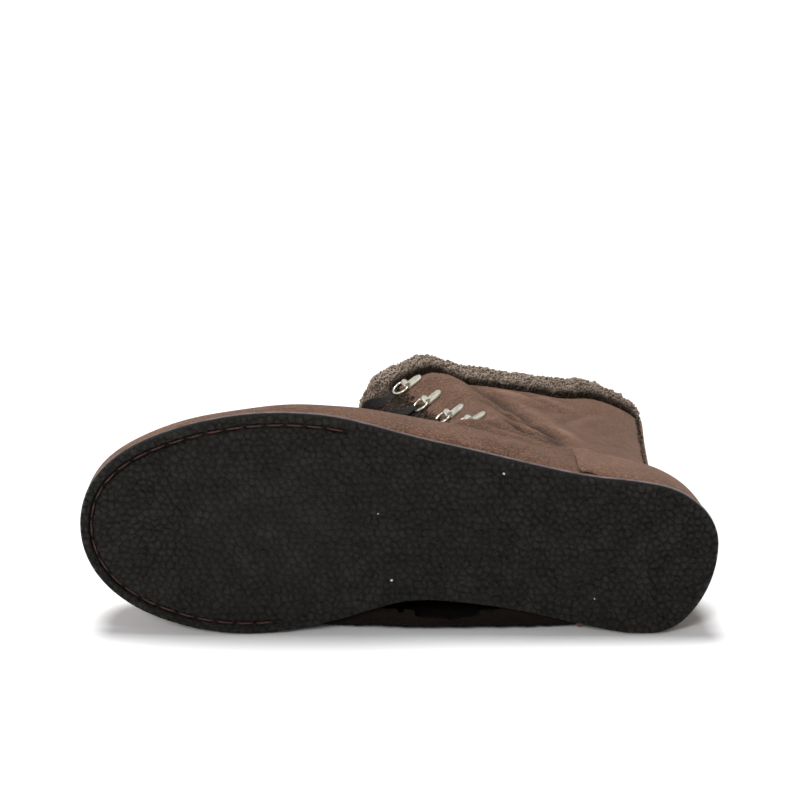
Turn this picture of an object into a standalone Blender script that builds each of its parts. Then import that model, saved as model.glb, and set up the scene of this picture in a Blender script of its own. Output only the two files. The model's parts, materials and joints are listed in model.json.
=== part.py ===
"""A left mukluk boot: suede upper on a thin rubber sole, fleece collar, laced through D-rings.

The boot is modelled standing, with x from the back of the heel to the toe, y from the medial
side to the lateral side and z up from the tread. The plane y = 0 touches the medial edge of the
sole at the heel and at the ball. A root empty then lays the boot down on that plane.
"""

import math
from collections import namedtuple

import bmesh
import bpy
from mathutils import Matrix, Vector

# Sole
SOLE_LENGTH = 0.269
BALL_WIDTH = 0.097
HEEL_WIDTH = 0.067
SOLE_THICKNESS = 0.0055
TOE_SPRING = 0.006
ARCH_LIFT = 0.0015
EDGE_ROUNDING = 0.0007
CHANNEL_INSET = 0.0047
CHANNEL_RADIUS = 0.0009

# Upper
INSTEP_HEIGHT = 0.083
SHAFT_HEIGHT = 0.197
COLLAR_DEPTH = 0.134
COLLAR_WIDTH = 0.064
WALL = 0.003
GAP = 0.0003

# Pieces on the upper
INSOLE_THICKNESS = 0.003
TONGUE_THICKNESS = 0.004
TONGUE_OVERLAP = 0.010
COUNTER_HEIGHT = 0.046
COUNTER_THICKNESS = 0.0013
STAY_WIDTH = 0.018
STAY_THICKNESS = 0.0011
FLEECE_HEIGHT = 0.014
FLEECE_PROUD = 0.004
FLEECE_INSIDE = 0.0045
FLEECE_LUMP = 0.0008
FLEECE_LUMP_PITCH = 0.009

# Lacing
LOOP_PAIRS = 6
LOOP_PITCH = 0.0262
LOOP_FROM_COLLAR = 0.009
CLAMP_LENGTH = 0.0095
CLAMP_WIDTH = 0.0065
CLAMP_SHEET = 0.0009
CLAMP_SETBACK = 0.0035
WIRE_RADIUS = 0.0009
RING_WIDTH = 0.012
RING_DEPTH = 0.0085
LACE_WIDTH = 0.0055
LACE_THICKNESS = 0.0010
LACE_START = 0.0064
LACE_REST = 0.0004
LACE_BOW = 0.0008
WRAP_SHARE = 0.75
WRAP_TAIL = 0.0030
PEG_PLACE = 0.35
PEG_SHARE = 0.5
TAUT_ROUNDS = 30

# Mesh steps
UPPER_ROWS = 20
UPPER_COLUMNS = 44
COUNTER_COLUMNS = 7
SOLE_STATIONS = 32
SOLE_ACROSS = 3

# The heel is this share of the ball in the outline table
HEEL_SHARE = 0.69

# along is a share of the sole's length. centre and fullness are shares of the width there:
# fullness is the half width of the ellipse over the whole length that passes through the edge.
Station = namedtuple("Station", "along centre fullness")
OUTLINE = (
    Station(0.00, 0.410, 0.700),
    Station(0.06, 0.343, 0.630),
    Station(0.12, 0.345, 0.527),
    Station(0.20, 0.375, 0.424),
    Station(0.30, 0.437, 0.367),
    Station(0.43, 0.502, 0.359),
    Station(0.50, 0.523, 0.384),
    Station(0.60, 0.523, 0.469),
    Station(0.73, 0.498, 0.560),
    Station(0.88, 0.481, 0.629),
    Station(1.00, 0.474, 0.760),
)

# One closed ring of the upper's outside, in a plane through its front and back points.
# foot is how much of the sole's outline it keeps, waist how far it fills out the sole's waist.
Ring = namedtuple(
    "Ring",
    "front_x front_z back_x back_z lateral_back lateral_front medial_back medial_front "
    "pole_back pole_front foot waist square",
)

# front and back are shares of the sole's length, rises are shares of the instep height above
# the sole, lateral and medial are shares of the ball width.
FootRow = namedtuple("FootRow", "front front_rise back back_rise lateral medial foot waist")
FOOT_ROWS = (
    FootRow(0.994, 0.00, 0.005, 0.00, 0.985, 0.012, 1.00, 0.000),
    FootRow(1.003, 0.16, 0.007, 0.15, 0.985, 0.010, 0.92, 0.030),
    FootRow(0.984, 0.40, 0.014, 0.38, 0.935, 0.035, 0.85, 0.040),
    FootRow(0.925, 0.57, 0.028, 0.54, 0.850, 0.095, 0.75, 0.025),
    FootRow(0.815, 0.68, 0.046, 0.66, 0.775, 0.130, 0.60, 0.010),
    FootRow(0.705, 0.81, 0.064, 0.79, 0.725, 0.125, 0.40, 0.000),
    FootRow(0.585, 1.00, 0.075, 0.94, 0.690, 0.100, 0.18, 0.000),
)

# back is a share of the sole's length and lead of the collar's depth. Rises are shares of the
# height from instep to collar. lateral is a share of the collar's width from the floor, and
# medial a share of what the fleece stands proud.
ShaftRow = namedtuple(
    "ShaftRow", "back lead front_rise back_rise lateral_back lateral_front medial square"
)
SHAFT_ROWS = (
    ShaftRow(0.079, 0.775, 0.13, 0.08, 0.900, 1.010, 1.6, 0.90),
    ShaftRow(0.078, 0.800, 0.38, 0.36, 0.830, 0.985, 1.1, 0.84),
    ShaftRow(0.074, 0.900, 0.71, 0.70, 0.780, 1.005, 1.0, 0.80),
    ShaftRow(0.068, 1.015, 1.00, 1.00, 0.745, 1.045, 1.0, 0.78),
)

# The throat's half opening as an angle round the ring, from the ring where it starts.
Throat = namedtuple("Throat", "row opening")
THROAT = (
    Throat(5.55, 0.00),
    Throat(5.70, 0.34),
    Throat(6.10, 0.56),
    Throat(7.00, 0.84),
    Throat(8.00, 0.88),
    Throat(9.00, 0.80),
    Throat(10.0, 0.76),
)
TONGUE_FOOT_ROW = 5.1
COLLAR_ROW = len(FOOT_ROWS) + len(SHAFT_ROWS) - 1

BROWN_SUEDE = (0.165, 0.105, 0.076, 1.0)
DARK_SUEDE = (0.085, 0.058, 0.043, 1.0)
BLACK_RUBBER = (0.021, 0.020, 0.018, 1.0)
FLEECE_BROWN = (0.170, 0.135, 0.110, 1.0)
NICKEL = (0.62, 0.60, 0.52, 1.0)
LACE_GREY = (0.050, 0.046, 0.043, 1.0)
INSOLE_BROWN = (0.140, 0.105, 0.080, 1.0)


def mix(a, b, share):
    return a + (b - a) * share


def smooth(value, low, high):
    """0 below low and 1 above high, with a soft step between; low may be above high."""
    share = min(1.0, max(0.0, (value - low) / (high - low)))
    return share * share * (3 - 2 * share)


def through(knots, values, at):
    """A Catmull-Rom curve through values at rising knots, held at the ends."""
    at = min(max(at, knots[0]), knots[-1])
    k = max(i for i in range(len(knots) - 1) if knots[i] <= at)
    before, after = max(k - 1, 0), min(k + 2, len(knots) - 1)
    span = knots[k + 1] - knots[k]
    rise = (values[k + 1] - values[before]) / (knots[k + 1] - knots[before]) * span
    fall = (values[after] - values[k]) / (knots[after] - knots[k]) * span
    u = (at - knots[k]) / span
    return (
        (2 * u**3 - 3 * u**2 + 1) * values[k]
        + (u**3 - 2 * u**2 + u) * rise
        + (3 * u**2 - 2 * u**3) * values[k + 1]
        + (u**3 - u**2) * fall
    )


def along_of(angle):
    """How far along the foot an angle round a ring is: 0 at the back and 1 at the front."""
    return (1 - math.cos(angle)) / 2


def angle_of(along):
    return math.acos(1 - 2 * along)


COUNTER_REACH = SOLE_LENGTH * along_of(2 * math.pi * COUNTER_COLUMNS / UPPER_COLUMNS)
OUTLINE_ANGLES = [angle_of(station.along) for station in OUTLINE]
OUTLINE_CENTRES = [station.centre for station in OUTLINE]
OUTLINE_FULLNESSES = [station.fullness for station in OUTLINE]


def wrapped(angle):
    """The same place round a ring as an angle from -pi to pi."""
    return (angle + math.pi) % (2 * math.pi) - math.pi


def outline(angle):
    """The sole's edge in plan. Angle is 0 at the heel, pi at the toe, and lateral above 0."""
    angle = wrapped(angle)
    along = along_of(angle)
    width = mix(HEEL_WIDTH / HEEL_SHARE, BALL_WIDTH, smooth(along, 0.2, 0.6))
    centre = through(OUTLINE_ANGLES, OUTLINE_CENTRES, abs(angle)) * width
    half = through(OUTLINE_ANGLES, OUTLINE_FULLNESSES, abs(angle)) * width * math.sin(angle)
    return Vector((SOLE_LENGTH * along, max(0.0, centre + half)))


def inset_outline(angle, inset):
    """The sole's edge moved inwards by inset."""
    step = 0.01
    here = outline(angle)
    tangent = (outline(angle + step) - outline(angle - step)).normalized()
    return here + Vector((tangent.y, -tangent.x)) * inset


def sole_lift(x):
    """How far the sole's bottom is above the tread plane: arch and toe spring."""
    along = x / SOLE_LENGTH
    arch = smooth(along, 0.24, 0.40) * smooth(along, 0.60, 0.48)
    spring = max(0.0, (along - 0.76) / 0.24)
    return ARCH_LIFT * arch + TOE_SPRING * spring**2


def foot_ring(row):
    rise = INSTEP_HEIGHT - SOLE_THICKNESS - GAP
    lateral, medial = row.lateral * BALL_WIDTH, row.medial * BALL_WIDTH
    pole = (lateral + medial) / 2
    return Ring(
        row.front * SOLE_LENGTH,
        SOLE_THICKNESS + 1.6 * GAP + row.front_rise * rise,
        row.back * SOLE_LENGTH,
        SOLE_THICKNESS + 1.6 * GAP + row.back_rise * rise,
        lateral,
        lateral,
        medial,
        medial,
        pole * 0.92,
        pole,
        row.foot,
        row.waist * BALL_WIDTH,
        0.95,
    )


def shaft_ring(row):
    rise = SHAFT_HEIGHT - INSTEP_HEIGHT
    back = row.back * SOLE_LENGTH
    return Ring(
        back + row.lead * COLLAR_DEPTH,
        INSTEP_HEIGHT + row.front_rise * rise,
        back,
        INSTEP_HEIGHT + row.back_rise * rise,
        row.lateral_back * COLLAR_WIDTH,
        row.lateral_front * COLLAR_WIDTH,
        row.medial * FLEECE_PROUD,
        row.medial * FLEECE_PROUD,
        0.54 * COLLAR_WIDTH,
        0.60 * COLLAR_WIDTH,
        0.0,
        0.0,
        row.square,
    )


RINGS = [foot_ring(row) for row in FOOT_ROWS] + [shaft_ring(row) for row in SHAFT_ROWS]
RING_NUMBERS = list(range(len(RINGS)))
RING_COLUMNS = list(zip(*RINGS))


def ring_at(row):
    return Ring(*(through(RING_NUMBERS, column, row) for column in RING_COLUMNS))


def counter_seat(x, z):
    """1 where the counter lies on the upper, fading to 0 past its front and top edges."""
    return smooth(x, COUNTER_REACH + 0.036, COUNTER_REACH + 0.012) * smooth(
        z, COUNTER_HEIGHT + 0.036, COUNTER_HEIGHT + 0.014
    )


def skin(row, angle):
    """A point of the upper's outside. Angle is 0 at the back, pi at the front, lateral above 0."""
    angle = wrapped(angle)
    ring = ring_at(row)
    along = along_of(angle)
    x = mix(ring.back_x, ring.front_x, along)
    z = mix(ring.back_z, ring.front_z, along)
    lateral = mix(ring.lateral_back, ring.lateral_front, along)
    medial = mix(ring.medial_back, ring.medial_front, along)
    pole = mix(ring.pole_back, ring.pole_front, along)
    side = 1 if angle >= 0 else -1
    reach = lateral - pole if side > 0 else pole - medial
    oval = pole + side * reach * abs(math.sin(angle)) ** ring.square
    share = outline(angle).y / BALL_WIDTH
    waist = ring.waist * math.sin(math.pi * min(1.0, along / 0.8)) ** 2
    last = medial + share * (lateral - medial) + side * waist
    y = mix(oval, last, ring.foot)
    z += sole_lift(x) * smooth(row, 4.5, 1.5)
    seat = (COUNTER_THICKNESS + GAP) * counter_seat(x, z)
    return Vector((x + seat * math.cos(angle), y - seat * math.sin(angle), z))


def skin_normal(row, angle):
    step_row, step_angle = 0.02, 0.02
    up = skin(min(row + step_row, COLLAR_ROW), angle) - skin(max(row - step_row, 0), angle)
    round_ = skin(row, angle + step_angle) - skin(row, angle - step_angle)
    return up.cross(round_).normalized()


def under(row, angle, depth):
    """A point this deep under the upper's outside; a negative depth is proud of it."""
    return skin(row, angle) - skin_normal(row, angle) * depth


def throat_opening(row):
    """The throat's half opening at a ring, as an angle from the front pole."""
    if row <= THROAT[0].row:
        return 0.0
    return through([k.row for k in THROAT], [k.opening for k in THROAT], row)


def arc_step(row, angle, length):
    """The change of angle that moves this length round the ring."""
    step = 0.01
    speed = (skin(row, angle + step) - skin(row, angle - step)).length / (2 * step)
    return length / speed


def link(obj, material):
    parts.objects.link(obj)
    obj.data.materials.append(material)
    obj.parent = root
    return obj


def mesh_object(name, bm, material):
    mesh = bpy.data.meshes.new(name)
    bmesh.ops.recalc_face_normals(bm, faces=bm.faces[:])
    bm.to_mesh(mesh)
    bm.free()
    mesh.shade_smooth()
    mesh.set_sharp_from_angle(angle=math.radians(40))
    return link(bpy.data.objects.new(name, mesh), material)


def finish(name, colour, roughness, metallic=0.0):
    material = bpy.data.materials.new(name)
    material.use_nodes = True
    shader = material.node_tree.nodes["Principled BSDF"]
    shader.inputs["Base Color"].default_value = colour
    shader.inputs["Roughness"].default_value = roughness
    shader.inputs["Metallic"].default_value = metallic
    return material


def grid(bm, rows):
    """Lays quads between rows of equally many points and returns the rows of vertices."""
    made = [[bm.verts.new(point) for point in row] for row in rows]
    for low, high in zip(made, made[1:]):
        for k in range(len(low) - 1):
            bm.faces.new((low[k], low[k + 1], high[k + 1], high[k]))
    return made


def solidify(obj, thickness):
    """Gives an open surface a wall on its inner side."""
    wall = obj.modifiers.new("wall", "SOLIDIFY")
    wall.thickness = thickness
    wall.offset = -1
    wall.use_even_offset = True
    wall.use_quality_normals = True
    return obj


def shell(name, rows, thickness, material, weld=False):
    """A grid of points, facing out of the boot, made a solid wall of this thickness."""
    bm = bmesh.new()
    made = grid(bm, rows)
    if weld:
        bmesh.ops.remove_doubles(bm, verts=bm.verts[:], dist=0.00001)
    middle = made[len(made) // 2][len(made[0]) // 2]
    outward = skin_normal_near(middle.co)
    bm.normal_update()
    turned = middle.link_faces[0].normal.dot(outward) < 0
    if turned:
        bmesh.ops.reverse_faces(bm, faces=bm.faces[:])
    mesh = bpy.data.meshes.new(name)
    bm.to_mesh(mesh)
    bm.free()
    mesh.shade_smooth()
    obj = link(bpy.data.objects.new(name, mesh), material)
    return solidify(obj, thickness)


def skin_normal_near(point):
    """The upper's outward normal where its outside is nearest to a point."""
    best = min(
        ((row / 2, math.radians(turn)) for row in range(1, 2 * COLLAR_ROW) for turn in range(-180, 180, 15)),
        key=lambda place: (skin(*place) - point).length,
    )
    return skin_normal(*best)


def plate(name, inset, bottom, thickness, rounding, material):
    """A plate with the sole's outline and lift, as a grid across the foot at each station."""
    angles = [math.pi * k / SOLE_STATIONS for k in range(1, SOLE_STATIONS)]
    bm = bmesh.new()
    levels = []
    for height in (bottom, bottom + thickness):
        rows = []
        for angle in angles:
            ends = inset_outline(-angle, inset), inset_outline(angle, inset)
            row = [ends[0].lerp(ends[1], k / SOLE_ACROSS) for k in range(SOLE_ACROSS + 1)]
            rows.append([(p.x, p.y, height + sole_lift(p.x)) for p in row])
        made = grid(bm, rows)
        for pole_angle, row in ((0.0, made[0]), (math.pi, made[-1])):
            pole = inset_outline(pole_angle, inset)
            tip = bm.verts.new((pole.x, pole.y, height + sole_lift(pole.x)))
            for k in range(SOLE_ACROSS):
                bm.faces.new((row[k], row[k + 1], tip))
            row.append(tip)
        levels.append(made)
    low, high = (
        [made[0][-1], *(row[0] for row in made), made[-1][-1]]
        + [row[SOLE_ACROSS] for row in reversed(made)]
        for made in levels
    )
    for k in range(len(low)):
        following = (k + 1) % len(low)
        bm.faces.new((low[k], low[following], high[following], high[k]))
    obj = mesh_object(name, bm, material)
    if rounding:
        edge = obj.modifiers.new("rounded edge", "BEVEL")
        edge.width = rounding
        edge.segments = 1
        edge.limit_method = "ANGLE"
        edge.angle_limit = math.radians(60)
    return obj


def tube_cutter(name, points, radius):
    """A closed tube mesh along points, kept out of the render, to cut with."""
    curve = bpy.data.curves.new(name, "CURVE")
    curve.dimensions = "3D"
    curve.bevel_depth = radius
    curve.bevel_resolution = 0
    curve.use_fill_caps = True
    spline = curve.splines.new("POLY")
    spline.points.add(len(points) - 1)
    for place, point in zip(spline.points, points):
        place.co = (*point, 1)
    drawn = bpy.data.objects.new(name, curve)
    cutters.objects.link(drawn)
    bpy.context.view_layer.update()
    mesh = bpy.data.meshes.new_from_object(
        drawn.evaluated_get(bpy.context.evaluated_depsgraph_get())
    )
    bpy.data.objects.remove(drawn)
    bm = bmesh.new()
    bm.from_mesh(mesh)
    bmesh.ops.remove_doubles(bm, verts=bm.verts[:], dist=0.000001)
    bmesh.ops.recalc_face_normals(bm, faces=bm.faces[:])
    bm.to_mesh(mesh)
    bm.free()
    cutter = bpy.data.objects.new(name, mesh)
    cutters.objects.link(cutter)
    cutter.parent = root
    cutter.hide_render = True
    cutter.display_type = "WIRE"
    return cutter


def outsole():
    """The rubber sole, with the channel of the forefoot's seam cut into its tread."""
    sole = plate("outsole", 0.0, 0.0, SOLE_THICKNESS, EDGE_ROUNDING, rubber)
    first, last = angle_of(0.57), 2 * math.pi - angle_of(0.68)
    count = 26
    route = []
    for k in range(count + 1):
        place = inset_outline(mix(first, last, k / count), CHANNEL_INSET)
        route.append((place.x, place.y, sole_lift(place.x)))
    cut = sole.modifiers.new("seam channel", "BOOLEAN")
    cut.operation = "DIFFERENCE"
    cut.object = tube_cutter("seam_channel_cutter", route, CHANNEL_RADIUS)
    return sole


def insole():
    """The sock that lies in the boot on top of the sole."""
    inset = (1 - FOOT_ROWS[0].lateral) * BALL_WIDTH + WALL + COUNTER_THICKNESS + 5 * GAP
    bottom = SOLE_THICKNESS + GAP
    return plate("insole", inset, bottom, INSOLE_THICKNESS, 0.0, sock)


def upper():
    """Vamp, quarters and shaft in one wall, open underneath, at the throat and at the collar."""
    rows = []
    for k in range(UPPER_ROWS + 1):
        row = COLLAR_ROW * k / UPPER_ROWS
        end = math.pi - throat_opening(row)
        rows.append([skin(row, mix(-end, end, j / UPPER_COLUMNS)) for j in range(UPPER_COLUMNS + 1)])
    return shell("upper", rows, WALL, suede, weld=True)


def tongue():
    """A padded tongue under the throat, from below the vamp's edge to the collar."""
    count, across = 14, 9
    rows = []
    for k in range(count + 1):
        row = mix(TONGUE_FOOT_ROW, COLLAR_ROW - 0.03, k / count)
        depth = WALL + GAP * mix(7.0, 1.8, smooth(row, 5.8, 7.6))
        open_ = throat_opening(row)
        half = open_ + arc_step(row, math.pi - open_, TONGUE_OVERLAP)
        angles = [math.pi - mix(-half, half, j / across) for j in range(across + 1)]
        rows.append([under(row, a, depth) for a in angles])
    return shell("tongue", rows, TONGUE_THICKNESS, dark_suede)


def heel_counter():
    """The overlay that cups the heel, on the upper's own columns, its top front corners cut off."""
    turn = 2 * math.pi / UPPER_COLUMNS
    rise = COLLAR_ROW / UPPER_ROWS
    straight, count = 4, 6
    wall = FOOT_ROWS[3]
    level = 3 * COUNTER_HEIGHT / mix(SOLE_THICKNESS, INSTEP_HEIGHT, wall.back_rise)
    rows = [[] for _ in range(count + 1)]
    for j in range(-COUNTER_COLUMNS, COUNTER_COLUMNS + 1):
        share = abs(j) / COUNTER_COLUMNS
        top = level * (0.86 if share == 1 else 1.0) + 0.3 * (1 - share**2)
        for k in range(count + 1):
            up = max(0, k - straight) / (count - straight)
            row = mix(max(0.02, min(k, straight) * rise), top, up)
            rows[k].append(under(row, j * turn, -COUNTER_THICKNESS - 1.2 * GAP))
    return shell("heel_counter", rows, COUNTER_THICKNESS, suede)


def back_stay():
    """The strip over the shaft's back seam, from the counter up to the collar."""
    count, across = 12, 3
    rows = []
    for k in range(count + 1):
        row = mix(4.1, COLLAR_ROW, k / count)
        half = arc_step(row, 0.0, STAY_WIDTH / 2)
        rows.append(
            [
                under(row, mix(-half, half, j / across), -STAY_THICKNESS - 1.5 * GAP)
                for j in range(across + 1)
            ]
        )
    return shell("back_stay", rows, STAY_THICKNESS, suede)


def fleece_roll(name, places, outward_depth, inner_depth):
    """A lumpy roll along places, each a point on the outside and its outward direction."""
    sides = 8
    middle = (inner_depth - outward_depth) / 2
    half = (inner_depth + outward_depth) / 2
    run = 0.0
    rows = []
    for k, (place, outward) in enumerate(places):
        run += (place - places[k - 1][0]).length if k else 0.0
        end = min(k, len(places) - 1 - k)
        taper = 1 - 0.45 * max(0, 2 - end) / 2
        row = []
        for j in range(sides):
            turn = 2 * math.pi * j / sides
            lump = FLEECE_LUMP * math.sin(2 * math.pi * run / FLEECE_LUMP_PITCH + 2.4 * j)
            across = (half + lump) * math.cos(turn) * taper
            rise = (FLEECE_HEIGHT / 2 + lump) * math.sin(turn) * taper
            base = FLEECE_HEIGHT / 2 + FLEECE_LUMP + GAP
            point = place - outward * middle + outward * across
            point.z = place.z + base + rise
            point.y = max(point.y, 0.0)
            row.append(point)
        rows.append(row)
    bm = bmesh.new()
    made = [[bm.verts.new(point) for point in row] for row in rows]
    for low, high in zip(made, made[1:]):
        for j in range(sides):
            following = (j + 1) % sides
            bm.faces.new((low[j], low[following], high[following], high[j]))
    bm.faces.new(made[0])
    bm.faces.new(made[-1])
    return mesh_object(name, bm, fleece)


def level_outward(row, angle):
    """The upper's outward direction in the plane of the ground."""
    normal = skin_normal(row, angle)
    return Vector((normal.x, normal.y, 0)).normalized()


def collar_fleece():
    """The fleece roll on the shaft's top edge, from one side of the throat round to the other."""
    count = 56
    end = math.pi - throat_opening(COLLAR_ROW)
    angles = [mix(-end, end, k / count) for k in range(count + 1)]
    places = [(skin(COLLAR_ROW, a), level_outward(COLLAR_ROW, a)) for a in angles]
    return fleece_roll("collar_fleece", places, FLEECE_PROUD, WALL + FLEECE_INSIDE)


def tongue_fleece():
    """The fleece roll on the tongue's top edge, between the ends of the collar's roll."""
    count = 20
    half = throat_opening(COLLAR_ROW) - arc_step(COLLAR_ROW, math.pi, 0.0035)
    places = []
    for k in range(count + 1):
        angle = math.pi - mix(-half, half, k / count)
        places.append((under(COLLAR_ROW, angle, WALL + GAP), level_outward(COLLAR_ROW, angle)))
    return fleece_roll("tongue_fleece", places, FLEECE_PROUD, TONGUE_THICKNESS + FLEECE_INSIDE)


def skin_patch(row, angle):
    """Places on the upper's outside that a clamp round this place covers."""
    toward_back = -math.copysign(1, angle)
    patch = []
    for back in (-0.3, 0.0, 0.5, 1.0):
        there = angle + toward_back * arc_step(row, angle, back * CLAMP_LENGTH)
        for rows_up in (-0.2, 0.0, 0.2):
            patch.append(skin(row + rows_up, there))
    return patch


Loop = namedtuple("Loop", "frame row angle")


def lacing_loops(side):
    """Each D-ring's frame on one side, from the collar down: the axes lead to the throat,
    along its edge and out of the upper, and the origin is on the suede at the clamp's rolled end."""
    steps = 400
    rows = [mix(COLLAR_ROW, THROAT[0].row + 0.2, k / steps) for k in range(steps + 1)]
    edge = [skin(row, side * (math.pi - throat_opening(row))) for row in rows]
    loops, run, wanted = [], 0.0, LOOP_FROM_COLLAR
    for k in range(1, len(edge)):
        run += (edge[k] - edge[k - 1]).length
        if run < wanted or len(loops) == LOOP_PAIRS:
            continue
        row = rows[k]
        at_edge = math.pi - throat_opening(row)
        angle = side * (at_edge - arc_step(row, at_edge, CLAMP_SETBACK))
        normal = skin_normal(row, angle)
        upwards = (edge[k - 1] - edge[k]).normalized()
        upwards = (upwards - normal * upwards.dot(normal)).normalized()
        inwards = upwards.cross(normal)
        inwards = inwards if inwards.dot(edge[k] - skin(row, angle)) > 0 else -inwards
        upwards = normal.cross(inwards)
        frame = Matrix.Identity(4)
        for axis, direction in enumerate((inwards, upwards, normal)):
            frame.col[axis][:3] = direction
        frame.translation = skin(row, angle)
        seat = max((frame.inverted() @ p).z for p in skin_patch(row, angle))
        frame.translation += normal * (seat + GAP)
        loops.append(Loop(frame, row, angle))
        wanted += LOOP_PITCH
    return loops


def clamp_profile():
    """The clamp sheet's outline along its length: flat root, then a roll round the ring's bar."""
    inner = WIRE_RADIUS + GAP
    outer = inner + 0.8 * CLAMP_SHEET
    centre = GAP + 0.1 * CLAMP_SHEET + outer
    turns = 7
    start, stop = math.radians(-90), math.radians(190)
    arc = [mix(start, stop, k / turns) for k in range(turns + 1)]
    rise = [(outer * math.cos(a), centre + outer * math.sin(a)) for a in arc]
    fall = [(inner * math.cos(a), centre + inner * math.sin(a)) for a in reversed(arc)]
    root_x = -CLAMP_WIDTH / 2
    return [(root_x, rise[0][1])] + rise, fall + [(root_x, fall[-1][1])]


def clamp(name, frame):
    """A sheet metal clamp: a round-ended leg on the suede, rolled round the D-ring's bar."""
    rise, fall = clamp_profile()
    roll_half = CLAMP_WIDTH / 2 - 0.0002
    bm = bmesh.new()
    loop = [(x, z) for x, z in rise + fall]
    sides = [[bm.verts.new((x, y, z)) for x, z in loop] for y in (-roll_half, roll_half)]
    for k in range(len(loop)):
        following = (k + 1) % len(loop)
        bm.faces.new((sides[0][k], sides[0][following], sides[1][following], sides[1][k]))
    bm.faces.new(sides[0])
    bm.faces.new(sides[1])
    bmesh.ops.recalc_face_normals(bm, faces=bm.faces[:])
    roll = bpy.data.meshes.new(name + "_roll")
    bm.to_mesh(roll)
    bm.free()

    half, ends = CLAMP_WIDTH / 2, 5
    tip = CLAMP_SHEET / 3
    outline_points = [(tip, half), (tip, -half)]
    for k in range(ends + 1):
        turn = math.radians(mix(-90, -270, k / ends))
        outline_points.append(
            (half - CLAMP_LENGTH + half * math.cos(turn), half * math.sin(turn))
        )
    leg = bmesh.new()
    low = [leg.verts.new((x, y, GAP)) for x, y in outline_points]
    high = [leg.verts.new((x, y, GAP + CLAMP_SHEET)) for x, y in outline_points]
    for k in range(len(low)):
        following = (k + 1) % len(low)
        leg.faces.new((low[k], low[following], high[following], high[k]))
    leg.faces.new(low)
    leg.faces.new(high)
    obj = mesh_object(name, leg, nickel)
    obj.matrix_local = frame

    roll_object = bpy.data.objects.new(name + "_roll", roll)
    cutters.objects.link(roll_object)
    roll_object.parent = root
    roll_object.matrix_local = frame
    roll_object.hide_render = True
    roll_object.display_type = "WIRE"
    join = obj.modifiers.new("roll", "BOOLEAN")
    join.operation = "UNION"
    join.object = roll_object
    return obj


def ring_height():
    """How far a D-ring's centre line is above the clamp's seat: in the middle of the roll."""
    return GAP + 0.9 * CLAMP_SHEET + GAP + WIRE_RADIUS


def ring_route():
    """The D-ring's centre line in its own frame: a straight bar and a round bow."""
    half = RING_WIDTH / 2 - WIRE_RADIUS
    height = ring_height()
    turns = 6
    route = [(0.0, -half, height), (0.0, half, height)]
    for k in range(turns + 1):
        turn = math.radians(mix(90, -90, k / turns))
        route.append(
            (
                RING_DEPTH - half + half * math.cos(turn),
                half * math.sin(turn),
                height,
            )
        )
    return route


def d_ring(name, frame):
    """The closed wire ring that the lace runs through."""
    curve = bpy.data.curves.new(name, "CURVE")
    curve.dimensions = "3D"
    curve.bevel_depth = WIRE_RADIUS
    curve.bevel_resolution = 0
    spline = curve.splines.new("POLY")
    route = ring_route()
    spline.points.add(len(route) - 1)
    spline.use_cyclic_u = True
    for place, point in zip(spline.points, route):
        place.co = (*point, 1)
    obj = link(bpy.data.objects.new(name, curve), nickel)
    obj.matrix_local = frame
    return obj


def ring_wrap(loop):
    """The lace's turn round a D-ring's bow: in under it, up through the hole and out over."""
    reach = WIRE_RADIUS + LACE_THICKNESS + GAP
    turns = 4
    wide = loop.frame.to_3x3() @ Vector((0, 1, 0))
    places = []
    for k in range(turns + 1):
        turn = math.pi * k / turns
        places.append((RING_DEPTH - 1.25 * reach * math.sin(turn), -1.05 * reach * math.cos(turn)))
    places = [(RING_DEPTH + WRAP_TAIL, places[0][1]), *places]
    places.append((RING_DEPTH + WRAP_TAIL, places[-1][1]))
    stops = []
    for x, z in places:
        stops.append((loop.frame @ Vector((x, 0, ring_height() + z)), wide, WRAP_SHARE, 1.0))
    return stops


def row_in_plane(angle, place, normal, *rows):
    """The row where the upper's outside at an angle crosses a plane through a place."""
    low, high = min(rows) - 1.2, min(max(rows) + 1.2, COLLAR_ROW)
    below = (skin(low, angle) - place).dot(normal) < 0
    for _ in range(20):
        middle = (low + high) / 2
        if ((skin(middle, angle) - place).dot(normal) < 0) == below:
            low = middle
        else:
            high = middle
    return (low + high) / 2


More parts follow.
